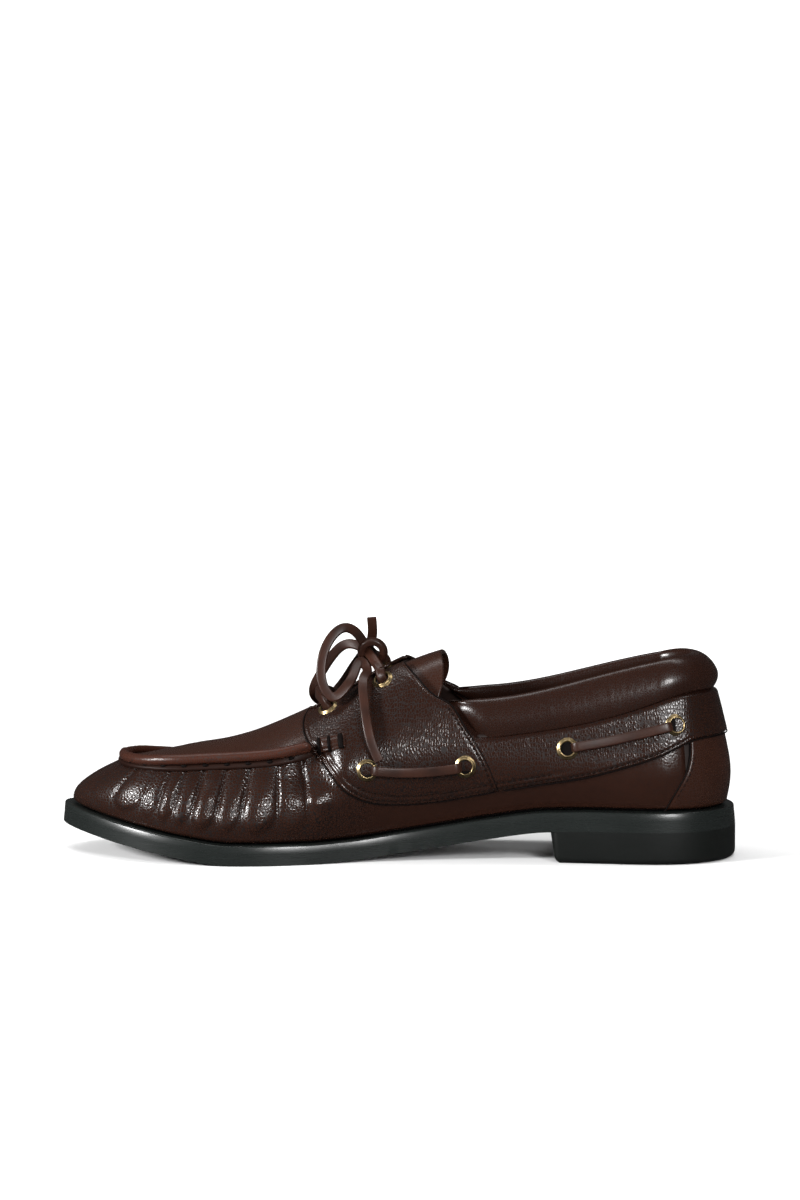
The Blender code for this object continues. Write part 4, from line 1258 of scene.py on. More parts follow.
def patch(front, back, low, high, along, up):
    """A sheet between four edge lines in (x, height), as rows of (x, height) from front to back."""
    front, back = through(front, count=len(up) * 2), through(back, count=len(up) * 2)
    low, high = through(low, count=len(along) * 2), through(high, count=len(along) * 2)

    def part_way(line, share):
        return np.array([np.interp(share, np.linspace(0, 1, len(line)), line[:, i]) for i in (0, 1)])

    rows = []
    for a in along:
        row = []
        for b in up:
            place = (1 - b) * part_way(low, a) + b * part_way(high, a)
            place += (1 - a) * part_way(front, b) + a * part_way(back, b)
            place -= (1 - a) * ((1 - b) * low[0] + b * high[0]) + a * ((1 - b) * low[-1] + b * high[-1])
            row.append(place)
        rows.append(row)
    return rows


def laid_on_wall(side, rows):
    """Rows of (x, height) set on one side's wall, with each point's distance from the four edges."""
    places = array_of([[on_wall(side, float(x), float(z)) for x, z in row] for row in rows])
    edges = places[:, 0], places[:, -1], places[0], places[-1]
    return places, [distance_from(places, edge) for edge in edges]


THROAT_EDGE = 11.4
WING_FOOT_X = (-29.3, -25.7, -21.8, -17.1, -11.2, -3.1, 5.5, 20.7, 33.8)
WING_BELOW_SHOULDER = 2.6
WING_ABOVE, WING_EDGE = 0.25, 1.3
BACK_ROW, FRONT_ROW = 1.6, 1.5
# The wing's corner: its height, and in x the middle and the width of its puff and of its smooth patch.
CORNER_HEIGHT, CORNER_TALL = 41.0, 7.0
PUFF, PUFF_HIGH = (-21.0, 5.0), 0.8
SMOOTH_PATCH, PATCH_SMOOTHER = (-28.0, 9.0), 0.55


def crowded(count, amount):
    """Shares from 0 to 1, by this amount closer together at both ends."""
    even = np.linspace(0, 1, count)
    return amount * (1 - np.cos(math.pi * even)) / 2 + (1 - amount) * even


def throat_line(side):
    """The wing's edge along the throat, as (x, height)."""
    along = np.linspace(SADDLE_FRONT[-1][0], SADDLE_BACK[-1][0], 14)
    return [(x, float(top_height(x, THROAT_EDGE - 1.2 * float(ease(-20, 3, x)), side))) for x in along]


def build_saddle():
    """The saddle's two wings, each from the throat's edge down to the quarter's lower edge."""
    front_x, front_height = SADDLE_FRONT[0]
    back_foot = (SADDLE_BACK[0][0], float(lower_edge(SADDLE_BACK[0][0])))
    for word, side in SIDES.items():
        throat = throat_line(side)
        front_foot = (front_x, min(front_height, float(shoulder[side](front_x)) - WING_BELOW_SHOULDER))
        lower = [front_foot, *[(x, float(lower_edge(x))) for x in WING_FOOT_X], back_foot]
        ahead = [front_foot, *[(x, z + OUTER_DROP[side]) for x, z in SADDLE_FRONT[1:-1]], throat[0]]
        behind = [back_foot, *SADDLE_BACK[1:-1], throat[-1]]
        rows = patch(ahead, behind, lower, throat, crowded(86, 0.55), crowded(76, 0.5))
        places, (from_foot, from_throat, from_front, from_back) = laid_on_wall(side, rows)
        nearest = np.minimum.reduce([from_foot, from_throat, from_front, from_back])
        lift = OVERLAY + WING_ABOVE + edge_fall(nearest, WING_EDGE)
        lift += channel(from_foot, NEAR_ROW) + channel(from_foot, FAR_ROW)
        lift += channel(from_back, BACK_ROW) + channel(from_front, FRONT_ROW)
        x, at_corner = places[:, :, 0], bell(places[:, :, 2], CORNER_HEIGHT, CORNER_TALL)
        lift += PUFF_HIGH * bell(x, *PUFF) * at_corner
        grain = 0.9 - 0.3 * bell(nearest, 0.0, 3.0) - PATCH_SMOOTHER * bell(x, *SMOOTH_PATCH) * at_corner
        rub = 0.12 + 0.25 * bell(nearest, 0.0, 1.2)
        add_panel(f"saddle_{word}", places, lift, {"grain": grain, "rub": rub}, "drawn")


def distance_from(places, line):
    """Each point's distance from the nearest point of an edge line."""
    flat = places.reshape(-1, 3)
    dense = through(line, spacing=0.5)
    found = np.full(len(flat), 1e9)
    for point in dense:
        found = np.minimum(found, np.linalg.norm(flat - point, axis=1))
    return found.reshape(places.shape[:2])


# The rim: the roll round the plug, the lip below it and the hand stitches between them.


def rim_columns():
    """(side, run) along the apron seam, from its inner end round the toe to its outer end."""
    along = np.linspace(HEEL_CENTRE_X - APRON_END_X, STRAIGHT_RUN, 52, endpoint=False)
    return both_sides([*along, *np.linspace(STRAIGHT_RUN, STRAIGHT_RUN + TOE_RUN, 86)])


def rim_line(back, out):
    """A line beside the apron seam: back along the profile from the shoulder, and out from it."""
    points, outs = [], []
    for side, run in rim_columns():
        here = column_at(side, run)
        length = here.shoulder + back
        base, top = here.place(length), here.place(length, 1.0)
        points.append(base + (top - base) * out)
        outs.append(top - base)
    return points, outs


# The roll stands out from the seam at this angle, lower round the toe and on the outer side.
ROLL_RISE = math.radians(52)
ROLL_LIFT, ROLL_LOWER_AT_TOE, ROLL_LOWER_OUTSIDE = 2.55, 0.7, 0.9
ROLL_TOE_X = (-98.0, -120.0)
ROLL_WIDE, ROLL_HIGH = 5.0, 4.4
ROLL_END = 2.4
ROLL_FULLER, ROLL_FULLER_TO = 0.12, (4.0, 16.0)
ROLL_SLIMMER_OUTSIDE, ROLL_SLIMS_Y = 0.2, (4.0, 14.0)
TOE_BAND_X, TOE_BAND_Y, TOE_SLIMMER = -100.0, 17.0, 0.22
TOE_RIPPLE, TOE_RIPPLE_LONG = 0.09, 4.4
# The lip and the rim's stitches: how far back from the seam and how far out they lie.
LIP_PLACE, LIP_END = (-2.1, -0.1), 3.0
RIM_STITCH_PLACE = (-1.9, 1.15)
RIM_STITCH = {"length": 2.8, "radius": 0.85, "start": 9.0}


def roll_size(points, ends, run):
    """How thick the roll is along its way: rounded at its ends, full behind them, thin at the toe."""
    size = np.sqrt(np.clip(1 - (1 - np.clip(ends / ROLL_END, 0.0, 1.0)) ** 2, 0.04, 1.0))
    size *= 1 + ROLL_FULLER * (1 - ease(*ROLL_FULLER_TO, ends))
    x, y = array_of([points])[0, :, :2].T
    toe = bell(y, 0.0, TOE_BAND_Y) * (x < TOE_BAND_X)
    size *= 1 + TOE_RIPPLE * toe * np.sin(run * math.tau / TOE_RIPPLE_LONG)
    size *= 1 - TOE_SLIMMER * toe
    return size * (1 - ROLL_SLIMMER_OUTSIDE * ease(*ROLL_SLIMS_Y, y))


def build_rim():
    """The roll round the plug, the dark lip under it, and the hand stitches between the two, black with the
    painted shade of the slots they dive into.
    """
    points, outs = [], []
    for side, run in rim_columns():
        here = column_at(side, run)
        edge, height = here.radius[WALL_SAMPLES - 1], here.height[WALL_SAMPLES - 1]
        lift = ROLL_LIFT - ROLL_LOWER_AT_TOE * float(ease(*ROLL_TOE_X, here.foot_x))
        lift -= ROLL_LOWER_OUTSIDE if side == OUTER else 0.0
        out, up = math.cos(ROLL_RISE), math.sin(ROLL_RISE)
        points.append(here.point(edge + lift * out, height + lift * up))
        outs.append(here.point(edge + out, height + up) - here.point(edge, height))
    run = run_along(points)
    ends = np.minimum(run, run[-1] - run)
    shape = carry(points, outs, oval(ROLL_WIDE, ROLL_HIGH, 18), roll_size(points, ends, run))
    add_layers(shape, {"rub": 0.55, "grain": 0.8})
    add_piece("rim_roll", shape, "roll", "rolled_leather", ["apron_roll"])

    shape = carry(*rim_line(*LIP_PLACE), rounded(3.3, 2.2, 0.85), np.clip(ends / LIP_END, 0.12, 1.0) ** 0.5)
    add_layers(shape, {"rub": 0.1, "grain": 0.4})
    add_piece("rim_lip", shape, "lip", "leather")

    # The rim's stitches in black: thread, and painted shade of the slots it dives into.
    shape = stitch_row(*rim_line(*RIM_STITCH_PLACE), loafer().rim_pitch / MM, **RIM_STITCH)
    add_piece("rim_stitches", shape, "ink_and_shade", "leather")


STITCH_FLAT = 0.75


def stitch_row(points, outs, pitch, length, radius, start=1.5):
    """A row of thread stitches, each a small rounded rod along the line."""
    run = run_along(points)
    points, outs = array_of([points])[0], array_of([outs])[0]

    def at(along, rows):
        return Vector([float(np.interp(along, run, rows[:, i])) for i in range(3)])

    shape = bmesh.new()
    size = Matrix.Diagonal((length / 2, radius, radius * STITCH_FLAT, 1.0))
    for s in np.arange(start, run[-1] - 1.0, pitch):
        ahead = (at(min(s + 0.5, run[-1]), points) - at(max(s - 0.5, 0.0), points)).normalized()
        out = square_to(ahead, at(s, outs))
        turn = Matrix((ahead, out.cross(ahead), out)).transposed().to_4x4()
        placed = Matrix.Translation(at(s, points)) @ turn @ size
        bmesh.ops.create_uvsphere(shape, u_segments=8, v_segments=6, radius=1.0, matrix=placed)
    return shape


def seam_line(side, rows, out):
    """Points over a line of (x, height) on one side, lifted out, with their normals."""
    points, outs = [], []
    for x, z in rows:
        normal = wall_normal(side, float(x), float(z))
        points.append(on_wall(side, float(x), float(z)) + normal * out)
        outs.append(normal)
    return points, outs


SEAM_STITCH = {"length": 1.8, "radius": 0.42}
COUNTER_STITCH = {"length": 1.7, "radius": 0.3}


def lower_edge_line(first, last, count, above=0.0):
    """(x, height) along the overlays' lower edge, or above it, and a little farther above it in front."""
    places = np.linspace(first, last, count)
    return [(x, float(lower_edge(x)) + above * (1.0 if x > 0 else 1.25)) for x in places]


def build_stitches():
    """The rows of fine stitching along the saddle, the quarters and the counter."""
    pitch = loafer().stitch_pitch / MM
    shapes = []
    for side in (INNER, OUTER):
        for above, first, last in ((NEAR_ROW, -26.0, 128.0), (FAR_ROW, -20.0, 72.0)):
            line = lower_edge_line(first, last, 120, above)
            shapes.append(stitch_row(*seam_line(side, line, OVERLAY + 0.05), pitch, **SEAM_STITCH))
        line = through(SADDLE_BACK[:5], count=40) - np.array([NEAR_ROW, 0.4])
        shapes.append(stitch_row(*seam_line(side, line, OVERLAY + 0.3), pitch, **SEAM_STITCH))
        line = through(COUNTER_SEAM[1:-1], count=30) + np.array([1.8, 0.0])
        shapes.append(stitch_row(*seam_line(side, line, -0.25), pitch, **COUNTER_STITCH))
    add_piece("seam_stitches", merge_shapes(shapes), "thread", "leather")


# Black rods along the overlays' edges: edge ink, and painted shade for the shadow line under each edge.
INK_OUT = -0.3
INK_RADIUS = 0.34
INK_ROD = oval(2 * INK_RADIUS, 2 * INK_RADIUS, 8)


def build_edges():
    """The cut edges of the overlays in black edge ink: a fine line along each of them, which also paints the
    shadow line under each edge.
    """
    for word, side in SIDES.items():
        lines = (
            (lower_edge_line(-31.5, 46.0, 60), OVERLAY + INK_OUT),
            ([(x, z + OUTER_DROP[side]) for x, z in SADDLE_FRONT], OVERLAY + INK_OUT + 0.1),
            (SADDLE_BACK, OVERLAY + INK_OUT + 0.1),
            (lower_edge_line(47.5, 128.0, 60), OVERLAY + INK_OUT),
            (COUNTER_SEAM, SKIN + 0.25),
        )
        shapes = []
        for rows, out in lines:
            points, outs = seam_line(side, through(rows, spacing=1.0), out)
            ends = np.linspace(0, 1, len(points))
            shapes.append(carry(points, outs, INK_ROD, np.clip(np.minimum(ends, 1 - ends) * 30, 0.3, 1.0)))
        add_piece(f"inked_edges_{word}", merge_shapes(shapes), "ink_and_shade", "leather")
    points, outs = [], []
    for side, run in both_sides(np.linspace(HEEL_CENTRE_X - 128.0, -HEEL_RUN, 50)):
        here = column_at(side, run)
        length = here.at_height(float(lower_edge(here.foot_x)))
        base, top = here.place(length), here.place(length, 1.0)
        points.append(base + (top - base) * (OVERLAY + INK_OUT + strap_lift(here.foot_x)))
        outs.append(top - base)
    add_piece("inked_strap_edge", carry(points, outs, INK_ROD), "ink_and_shade", "leather")


# The tab's lower and upper edge in (x, height), and its three bars of thread: where each is and how wide.
TAB_LOW = ((-32.4, 47.6), (-26.5, 48.6), (-19.8, 50.8))
TAB_HIGH = ((-33.2, 54.0), (-27.0, 55.2), (-20.6, 56.6))
TAB_LIFT = 1.0
TAB_STITCH_IN, TAB_STITCH_DEEP, TAB_STITCH_WIDE = 1.6, 0.35, 0.5
TAB_BARS = ((-31.0, 1.4), (-26.6, 1.4), (-21.6, 2.4))
TAB_TILT, TAB_MIDDLE_X = 0.36, -26.4


def build_tabs():
    """The stitched tab behind each end of the rim."""
    for word, side in SIDES.items():
        drop = OUTER_DROP[side]
        low, high = [[(x, z + drop) for x, z in edge] for edge in (TAB_LOW, TAB_HIGH)]
        front, back = [low[0], high[0]], [low[-1], high[-1]]
        rows = patch(front, back, low, high, np.linspace(0, 1, 30), np.linspace(0, 1, 20))
        places, gaps = laid_on_wall(side, rows)
        nearest = np.minimum.reduce(gaps)
        lift = OVERLAY + TAB_LIFT + edge_fall(nearest, 1.1, 0.8)
        lift -= TAB_STITCH_DEEP * bell(nearest, TAB_STITCH_IN, TAB_STITCH_WIDE)
        add_panel(f"tab_{word}", places, lift, {"grain": 0.5, "rub": 0.1}, "smooth")
        shapes = []
        for x, wide in TAB_BARS:
            tilt = (x - TAB_MIDDLE_X) * TAB_TILT
            heights = (48.4 + tilt, 51.4 + tilt, 54.6 + tilt * 0.6)
            line = through([(x - 0.4 * (i + 1), z + drop) for i, z in enumerate(heights)], count=14)
            points, outs = seam_line(side, line, OVERLAY + TAB_LIFT)
            middle = np.sin(np.linspace(0, math.pi, len(points)))
            points = [p + Vector(o) * (0.7 * m - 0.4) for p, o, m in zip(points, outs, middle)]
            shapes.append(carry(points, outs, oval(wide, 1.3, 10)))
        add_piece(f"tab_threads_{word}", merge_shapes(shapes), "ink_and_shade", "leather")


# The collar, the tongue and the sock.


COLLAR_FRONT_RUN = 93.0
COLLAR_IN = 2.4
COLLAR_FULLEST = 0.52
COLLAR_HALF, COLLAR_THICKER_BACK = 4.4, 1.4
COLLAR_TUCK, COLLAR_TUCK_LONG, COLLAR_TUCK_X = 4.4, 7.0, 60.0
COLLAR_LEVELS = 0.5 - 0.5 * np.cos(np.linspace(0, math.pi, 40))


def collar_section(side, run):
    """The collar's cross-section: level at its foot, swollen in the middle and round on top."""
    here = column_at(side, run)
    x = here.foot_x
    low = opening_edge(x) + GAP - 0.2
    high = float(collar_top[side](x)) - 0.8 * max(SADDLE_FOOT_X - x, 0.0) / 12.0
    back = max(here.ahead, 0.0)
    at_foot, at_top = [float(np.interp(here.at_height(z), here.length, here.radius)) for z in (low, high)]
    foot_radius, top_radius = at_foot - WALL / 2, at_top - COLLAR_IN - 0.5 * back
    foot_half, full_half = WALL / 2 - GAP, COLLAR_HALF + COLLAR_THICKER_BACK * back
    outer, inner = [], []
    for t in COLLAR_LEVELS:
        if t > COLLAR_FULLEST:
            half = full_half * math.sqrt(max(1 - ((t - COLLAR_FULLEST) / (1 - COLLAR_FULLEST)) ** 2, 0.0))
        else:
            half = foot_half + (full_half - foot_half) * math.sin(QUARTER_TURN * t / COLLAR_FULLEST) ** 0.85
        middle = foot_radius + (top_radius - foot_radius) * t
        height = low + (high - low) * t
        outer.append(here.point(middle + half * (1 - 0.25 * (1 - back)), height))
        inner.append(here.point(middle - half, height))
    return outer + inner[::-1]


def build_collar():
    """The padded roll round the opening. Its front ends thin out under the saddle's back edge."""
    runs = [*np.linspace(COLLAR_FRONT_RUN, 0, 96, endpoint=False), *np.linspace(0, -HEEL_RUN, 56)]
    rows = array_of([collar_section(side, run) for side, run in both_sides(runs)])
    seam = np.array(SADDLE_BACK)
    behind = rows[:, :, 0] - np.interp(rows[:, :, 2], seam[:, 1], seam[:, 0])
    pull = COLLAR_TUCK * bell(np.clip(behind, 0.0, None), 0.0, COLLAR_TUCK_LONG)
    on_outside = (np.arange(rows.shape[1]) < len(COLLAR_LEVELS))[None, :] & (rows[:, :, 0] < COLLAR_TUCK_X)
    rows[:, :, 1] -= on_outside * np.sign(rows[:, :, 1]) * pull
    rows = np.concatenate([rows, rows[:, :1]], axis=1)
    shape, places = grid(*rows.shape[:2])
    for vert, (i, j) in places.items():
        vert.co = rows[i, j]
    close_up(shape)
    add_layers(shape, {"grain": 0.45, "rub": 0.12})
    collar = add_piece("collar_roll", shape, "padded", "leather", ["collar"])


def build_tongue():
    """The tongue: an arched flap with a softened edge, rising behind the saddle."""
    rows = []
    for x in [*np.linspace(TONGUE_FRONT_X + 1, 4, 48), *np.linspace(4, TONGUE_TOP_X, 20)[1:]]:
        run = (x - TONGUE_FRONT_X) / (TONGUE_TOP_X - TONGUE_FRONT_X)
        end = max((x - TONGUE_TOP_X) / TONGUE_END + 1.0, 0.0)
        row = []
        for share in np.linspace(-1, 1, 61):
            side = INNER if share < 0 else OUTER
            aside = abs(share) * (TONGUE_HALF + TONGUE_FLARE * run**4)
            place_x = x + end * (TONGUE_SCOOP * share**2 - TONGUE_CORNER * share**8)
            row.append(on_top(side, place_x, aside))
        rows.append(row)
    shape = drape(rows, -TONGUE_DEPTH, {"grain": 0.5, "rub": 0.2})
    tongue = add_piece("tongue_flap", shape, "smooth", "leather", ["tongue"], WALL)
    bevel = tongue.modifiers.new("edge", "BEVEL")
    bevel.width = 0.6 * MM
    bevel.segments = 2
    bevel.angle_limit = math.radians(60)


# The sole.


def plate_sheet(outline, places, height):
    """A sheet with this outline in plan, at a height that changes along x."""
    inner, outer = half_width(outline, INNER), half_width(outline, OUTER)
    shape, corners = grid(len(places), 3)
    for vert, (i, j) in corners.items():
        x = places[i]
        y = (-float(inner(x)), 0.0, float(outer(x)))[j]
        vert.co = (x, y, float(height(x)))
    return shape


def outline_places(outline, count=170):
    """Places along x that follow the outline evenly, and so are close together at both tips."""
    half = outline[outline[:, 1] < 0]
    half = half[np.argsort(half[:, 0])]
    return through(half, count=count)[1:-1, 0]


def slab(low_outline, high_outline, low, high, soft):
    """A plate between two outlines, its sides leaning from one to the other and its lower edge softened."""
    places = outline_places(low_outline)
    upper = outline_places(high_outline)
    wide = {side: half_width(high_outline, side) for side in (INNER, OUTER)}
    shape = plate_sheet(low_outline, places, low)
    grown = bmesh.ops.extrude_face_region(shape, geom=shape.faces[:])
    for item in grown["geom"]:
        if isinstance(item, bmesh.types.BMVert):
            x = float(upper[int(np.argmin(np.abs(places - item.co.x)))])
            side = INNER if item.co.y < 0 else OUTER
            item.co = (x, 0.0 if abs(item.co.y) < 0.01 else side * float(wide[side](x)), float(high(x)))
    bmesh.ops.recalc_face_normals(shape, faces=shape.faces)
    rim = []
    for edge in shape.edges:
        if len(edge.link_faces) != 2 or edge.calc_face_angle(0.0) < math.radians(50):
            continue
        middle = (edge.verts[0].co + edge.verts[1].co) / 2
        flat = [abs(face.normal.z) > 0.6 for face in edge.link_faces]
        if sum(flat) == 1 and middle.z < (float(low(middle.x)) + float(high(middle.x))) / 2:
            rim.append(edge)
    round_off = {"affect": "EDGES", "segments": 3, "profile": 0.5, "material": -1, "clamp_overlap": True}
    bmesh.ops.bevel(shape, geom=rim, offset=soft, **round_off)
    return shape


# How far the sole's and the welt's sides lean in towards the top.
SOLE_LEAN = 0.45
WELT_LEAN = 0.28
# The welt's rounded top edge: how much farther in than the lean, and how far below the top.
WELT_EDGE = ((0.0, 0.6), (0.15, 0.3), (0.45, 0.06), (0.8, 0.0))
# The sock reaches this far over the insole's edge.
SOCK_OVER = 2.4
SOCK_INSET = WELT_WIDTH + INSOLE_CLEAR - SOCK_OVER


def build_sole():
    """The sole plate, the welt, the heel and the sock."""
    shape = slab(OUTLINE, inset_outline(SOLE_LEAN), underside, lambda x: outsole_top(x) + 0.12, 1.0)
    add_piece("sole_plate", shape, "sole", "sole", ["outsole"], sharp=40)
    add_piece("welt_strip", welt_ring(), "sole", "sole", ["welt"], sharp=40)
    add_piece("heel_block", heel_block(), "heel", "sole", ["heel"], sharp=40)
    plan = inset_outline(SOCK_INSET)
    shape = plate_sheet(plan, outline_places(plan, 120), lambda x: welt_top(x) + INSOLE_ABOVE_WELT + 0.1)
    add_piece("sock", shape, "lining", "lining", ["insole"], 1.0)


def bridged(rings, closed=False):
    """A skin over a stack of rings that have the same number of points."""
    shape = bmesh.new()
    loops = []
    for ring in rings:
        made = bmesh.ops.create_circle(shape, cap_ends=False, segments=len(ring), radius=1.0)
        for vert, place in zip(made["verts"], ring):
            vert.co = place
        loops.append(list({edge for vert in made["verts"] for edge in vert.link_edges}))
    for first, second in zip(loops, loops[1:] + loops[:1] if closed else loops[1:]):
        bmesh.ops.bridge_loops(shape, edges=first + second)
    if not closed:
        bmesh.ops.holes_fill(shape, edges=[e for e in shape.edges if e.is_boundary], sides=0)
    bmesh.ops.recalc_face_normals(shape, faces=shape.faces)
    return shape


def welt_ring():
    """The welt: a closed strip round the sole, its outer face drawn in towards the top."""
    picks = np.linspace(0, len(OUTLINE), 520, endpoint=False).astype(int)
    outside, inside = OUTLINE[picks], inset_outline(WELT_WIDTH)[picks]
    low, high = outsole_top(outside[:, 0]) - 0.2, welt_top(outside[:, 0])
    rings = [np.column_stack([inset_outline(SOLE_LEAN)[picks], low])]
    for inwards, below in WELT_EDGE:
        rings.append(np.column_stack([inset_outline(SOLE_LEAN + WELT_LEAN + inwards)[picks], high - below]))
    for height in (welt_top(inside[:, 0]), outsole_top(inside[:, 0]) + GAP):
        rings.append(np.column_stack([inside, height]))
    return bridged(rings, closed=True)


HEEL_CORNER = 3.2
# The heel's lower edge, rounded: (height, how far in) from the ground up.
HEEL_SOFT = ((0.0, 2.7), (0.12, 1.9), (0.45, 1.15), (1.0, 0.5), (1.8, 0.12), (2.7, 0.0))


def heel_block():
    """The heel: flush with the sole, its lower edges rounded and its breast slightly hollow."""
    inner, outer = half_width(OUTLINE, INNER), half_width(OUTLINE, OUTER)
    front, soft = HEEL_BREAST_X, HEEL_CORNER
    turn = np.linspace(0, QUARTER_TURN, 8)
    low_y, high_y = -float(inner(front + soft)), float(outer(front + soft))
    back = [(x, y) for x, y in OUTLINE if x > front + soft + 0.5]
    back.sort(key=lambda p: math.atan2(p[1], p[0] - (front + soft)))
    share = np.linspace(0, 1, 24)
    breast_x = front + HEEL_BREAST_HOLLOW * (1 - (2 * share - 1) ** 2)
    breast = [*zip(breast_x, (high_y - soft) + (low_y - high_y + 2 * soft) * share)]
    plan = [
        *back,
        *[(front + soft - soft * math.sin(a), high_y - soft + soft * math.cos(a)) for a in turn],
        *breast[1:-1],
        *[(front + soft - soft * math.cos(a), low_y + soft - soft * math.sin(a)) for a in turn],
    ]
    plan = through([*plan, plan[0]], count=361)[:-1]
    ahead = np.roll(plan, -1, axis=0) - np.roll(plan, 1, axis=0)
    inwards = np.column_stack([-ahead[:, 1], ahead[:, 0]]) / np.linalg.norm(ahead, axis=1)[:, None]
    top = underside(plan[:, 0]) + 0.05
    slant = HEEL_BREAST_SLANT * (1 - ease(0.0, 5.0, plan[:, 0] - front))
    rings = []
    for height, inset in (*HEEL_SOFT, (None, 0.0)):
        ring = plan + inwards * inset
        heights = top if height is None else np.full(len(plan), height)
        rings.append(np.column_stack([ring[:, 0] + slant * (1 - heights / top), ring[:, 1], heights]))
    return bridged(rings)


# Eyelets and lace.

# The eyelet's section, as (radius, height above the leather).
EYELET_PROFILE = (
    (2.95, -2.2),
    (2.95, 0.55),
    (3.05, 0.95),
    (3.3, 1.2),
    (3.6, 1.18),
    (3.85, 0.92),
    (4.05, 0.66),
    (4.45, 0.52),
    (4.78, 0.34),
    (4.88, 0.1),
    (3.5, 0.05),
    (3.45, -2.2),
)


HOLE_RADIUS, HOLE_RIM, HOLE_LIFT = 3.0, 0.9, 0.62


def throat_hole(side, number):
    """The place and the normal of the low (0) or the top (1) throat eyelet."""
    _, x, aside = THROAT_EYELETS[number]
    return on_top(side, x, aside), top_normal(side, x, aside)


def eyelet_places(side):
    """(name, place, normal) of one side's eyelets."""
    found = [(name, on_wall(side, x, z), wall_normal(side, x, z)) for name, x, z in WALL_EYELETS]
    return found + [(name, *throat_hole(side, i)) for i, (name, _, _) in enumerate(THROAT_EYELETS)]


def build_hole_shades():
    """A black disc in each eyelet, hollowed below its bead: painted shade inside the hole."""
    shapes = []
    for _, place, normal in eyelet_places(INNER) + eyelet_places(OUTER):
        shape = bmesh.new()
        bmesh.ops.create_circle(shape, cap_ends=True, segments=28, radius=HOLE_RADIUS)
        bmesh.ops.inset_region(shape, faces=shape.faces[:], thickness=HOLE_RIM, depth=-0.3)
        shapes.append(seat(shape, place + normal * HOLE_LIFT, normal))
    # Painted shade: black discs stand for the dark inside of the holes.
    add_piece("eyelet_holes", merge_shapes(shapes), "ink_and_shade", "lining")


def build_eyelets():
    """Turned eyelets: a half-round ring, and a barrel down through the leather."""
    build_hole_shades()
    for word, side in SIDES.items():
        found = eyelet_places(side)
        shapes = [seat(turned(EYELET_PROFILE, 36, True), place, normal) for _, place, normal in found]
        nodes = [f"eyelet_{word}_{name}" for name, _, _ in found]
        add_piece(f"eyelets_{word}", merge_shapes(shapes), "brass", "brass", nodes, sharp=50)


LACE_CORNER = 0.6
LACE_STEP = 1.3
# The wide face of a lace in the bow is turned this way.
LACE_FACES = (0.0, -1.0, 0.3)
KNOT_CENTRE = (-11.0, -4.6, 89.0)
KNOT_ALONG, KNOT_ASIDE, KNOT_UP = 5.0, 1.5, 4.9
KNOT_WRAP = (math.radians(-70), math.radians(275))
HOLE_DEEP = 2.4

# The lace's ways, as points in millimetres.
LOW_CROSSING = (
    (-31.0, -17.5, 68.6),
    (-34.0, -10.0, 70.2),
    (-35.5, 0.0, 70.6),
    (-34.0, 10.0, 70.2),
    (-31.0, 17.5, 68.6),
)
INNER_STRAND = (
    (-6.8, -16.2, 82.6),
    (-9.0, -12.0, 85.2),
    (-12.0, -6.5, 88.0),
)
OUTER_STRAND = (
    (-6.8, 16.2, 83.2),
    (-8.4, 12.0, 84.8),
    (-10.5, 7.0, 86.2),
    (-12.6, -0.6, 89.6),
)
INNER_LOOP = (
    (-14.4, -4.6, 92.5),
    (-18.0, -7.6, 98.0),
    (-22.8, -11.0, 100.4),
    (-29.0, -14.5, 95.4),
    (-32.3, -18.5, 84.5),
    (-30.8, -21.0, 75.0),
    (-26.9, -22.0, 71.0),
    (-21.6, -19.5, 75.0),
    (-18.4, -14.0, 80.4),
    (-15.6, -8.0, 85.0),
)
INNER_END = (
    (-13.2, -10.6, 83.0),
    (-13.4, -20.0, 79.5),
    (-12.8, -28.0, 71.5),
    (-11.0, -34.5, 62.0),
    (-8.0, -38.6, 51.5),
    (-5.0, -40.4, 45.5),
)
OUTER_BOW = (
    (-16.1, -0.4, 90.4),
    (-22.5, 4.6, 91.4),
    (-30.0, 11.0, 85.5),
    (-36.5, 17.5, 75.5),
    (-39.5, 23.0, 66.5),
    (-36.0, 28.5, 63.0),
    (-29.0, 27.0, 68.5),
    (-22.0, 19.5, 78.5),
    (-16.0, 10.5, 87.0),
    (-12.5, 6.0, 92.8),
    (-11.6, 3.0, 97.5),
    (-11.8, 1.0, 103.5),
)


def lace_outline(narrower=0.0, thinner=0.0):
    return rounded(loafer().lace_width / MM - narrower, loafer().lace_thick / MM - thinner, LACE_CORNER)


def path_length(path):
    return float(run_along(path)[-1])


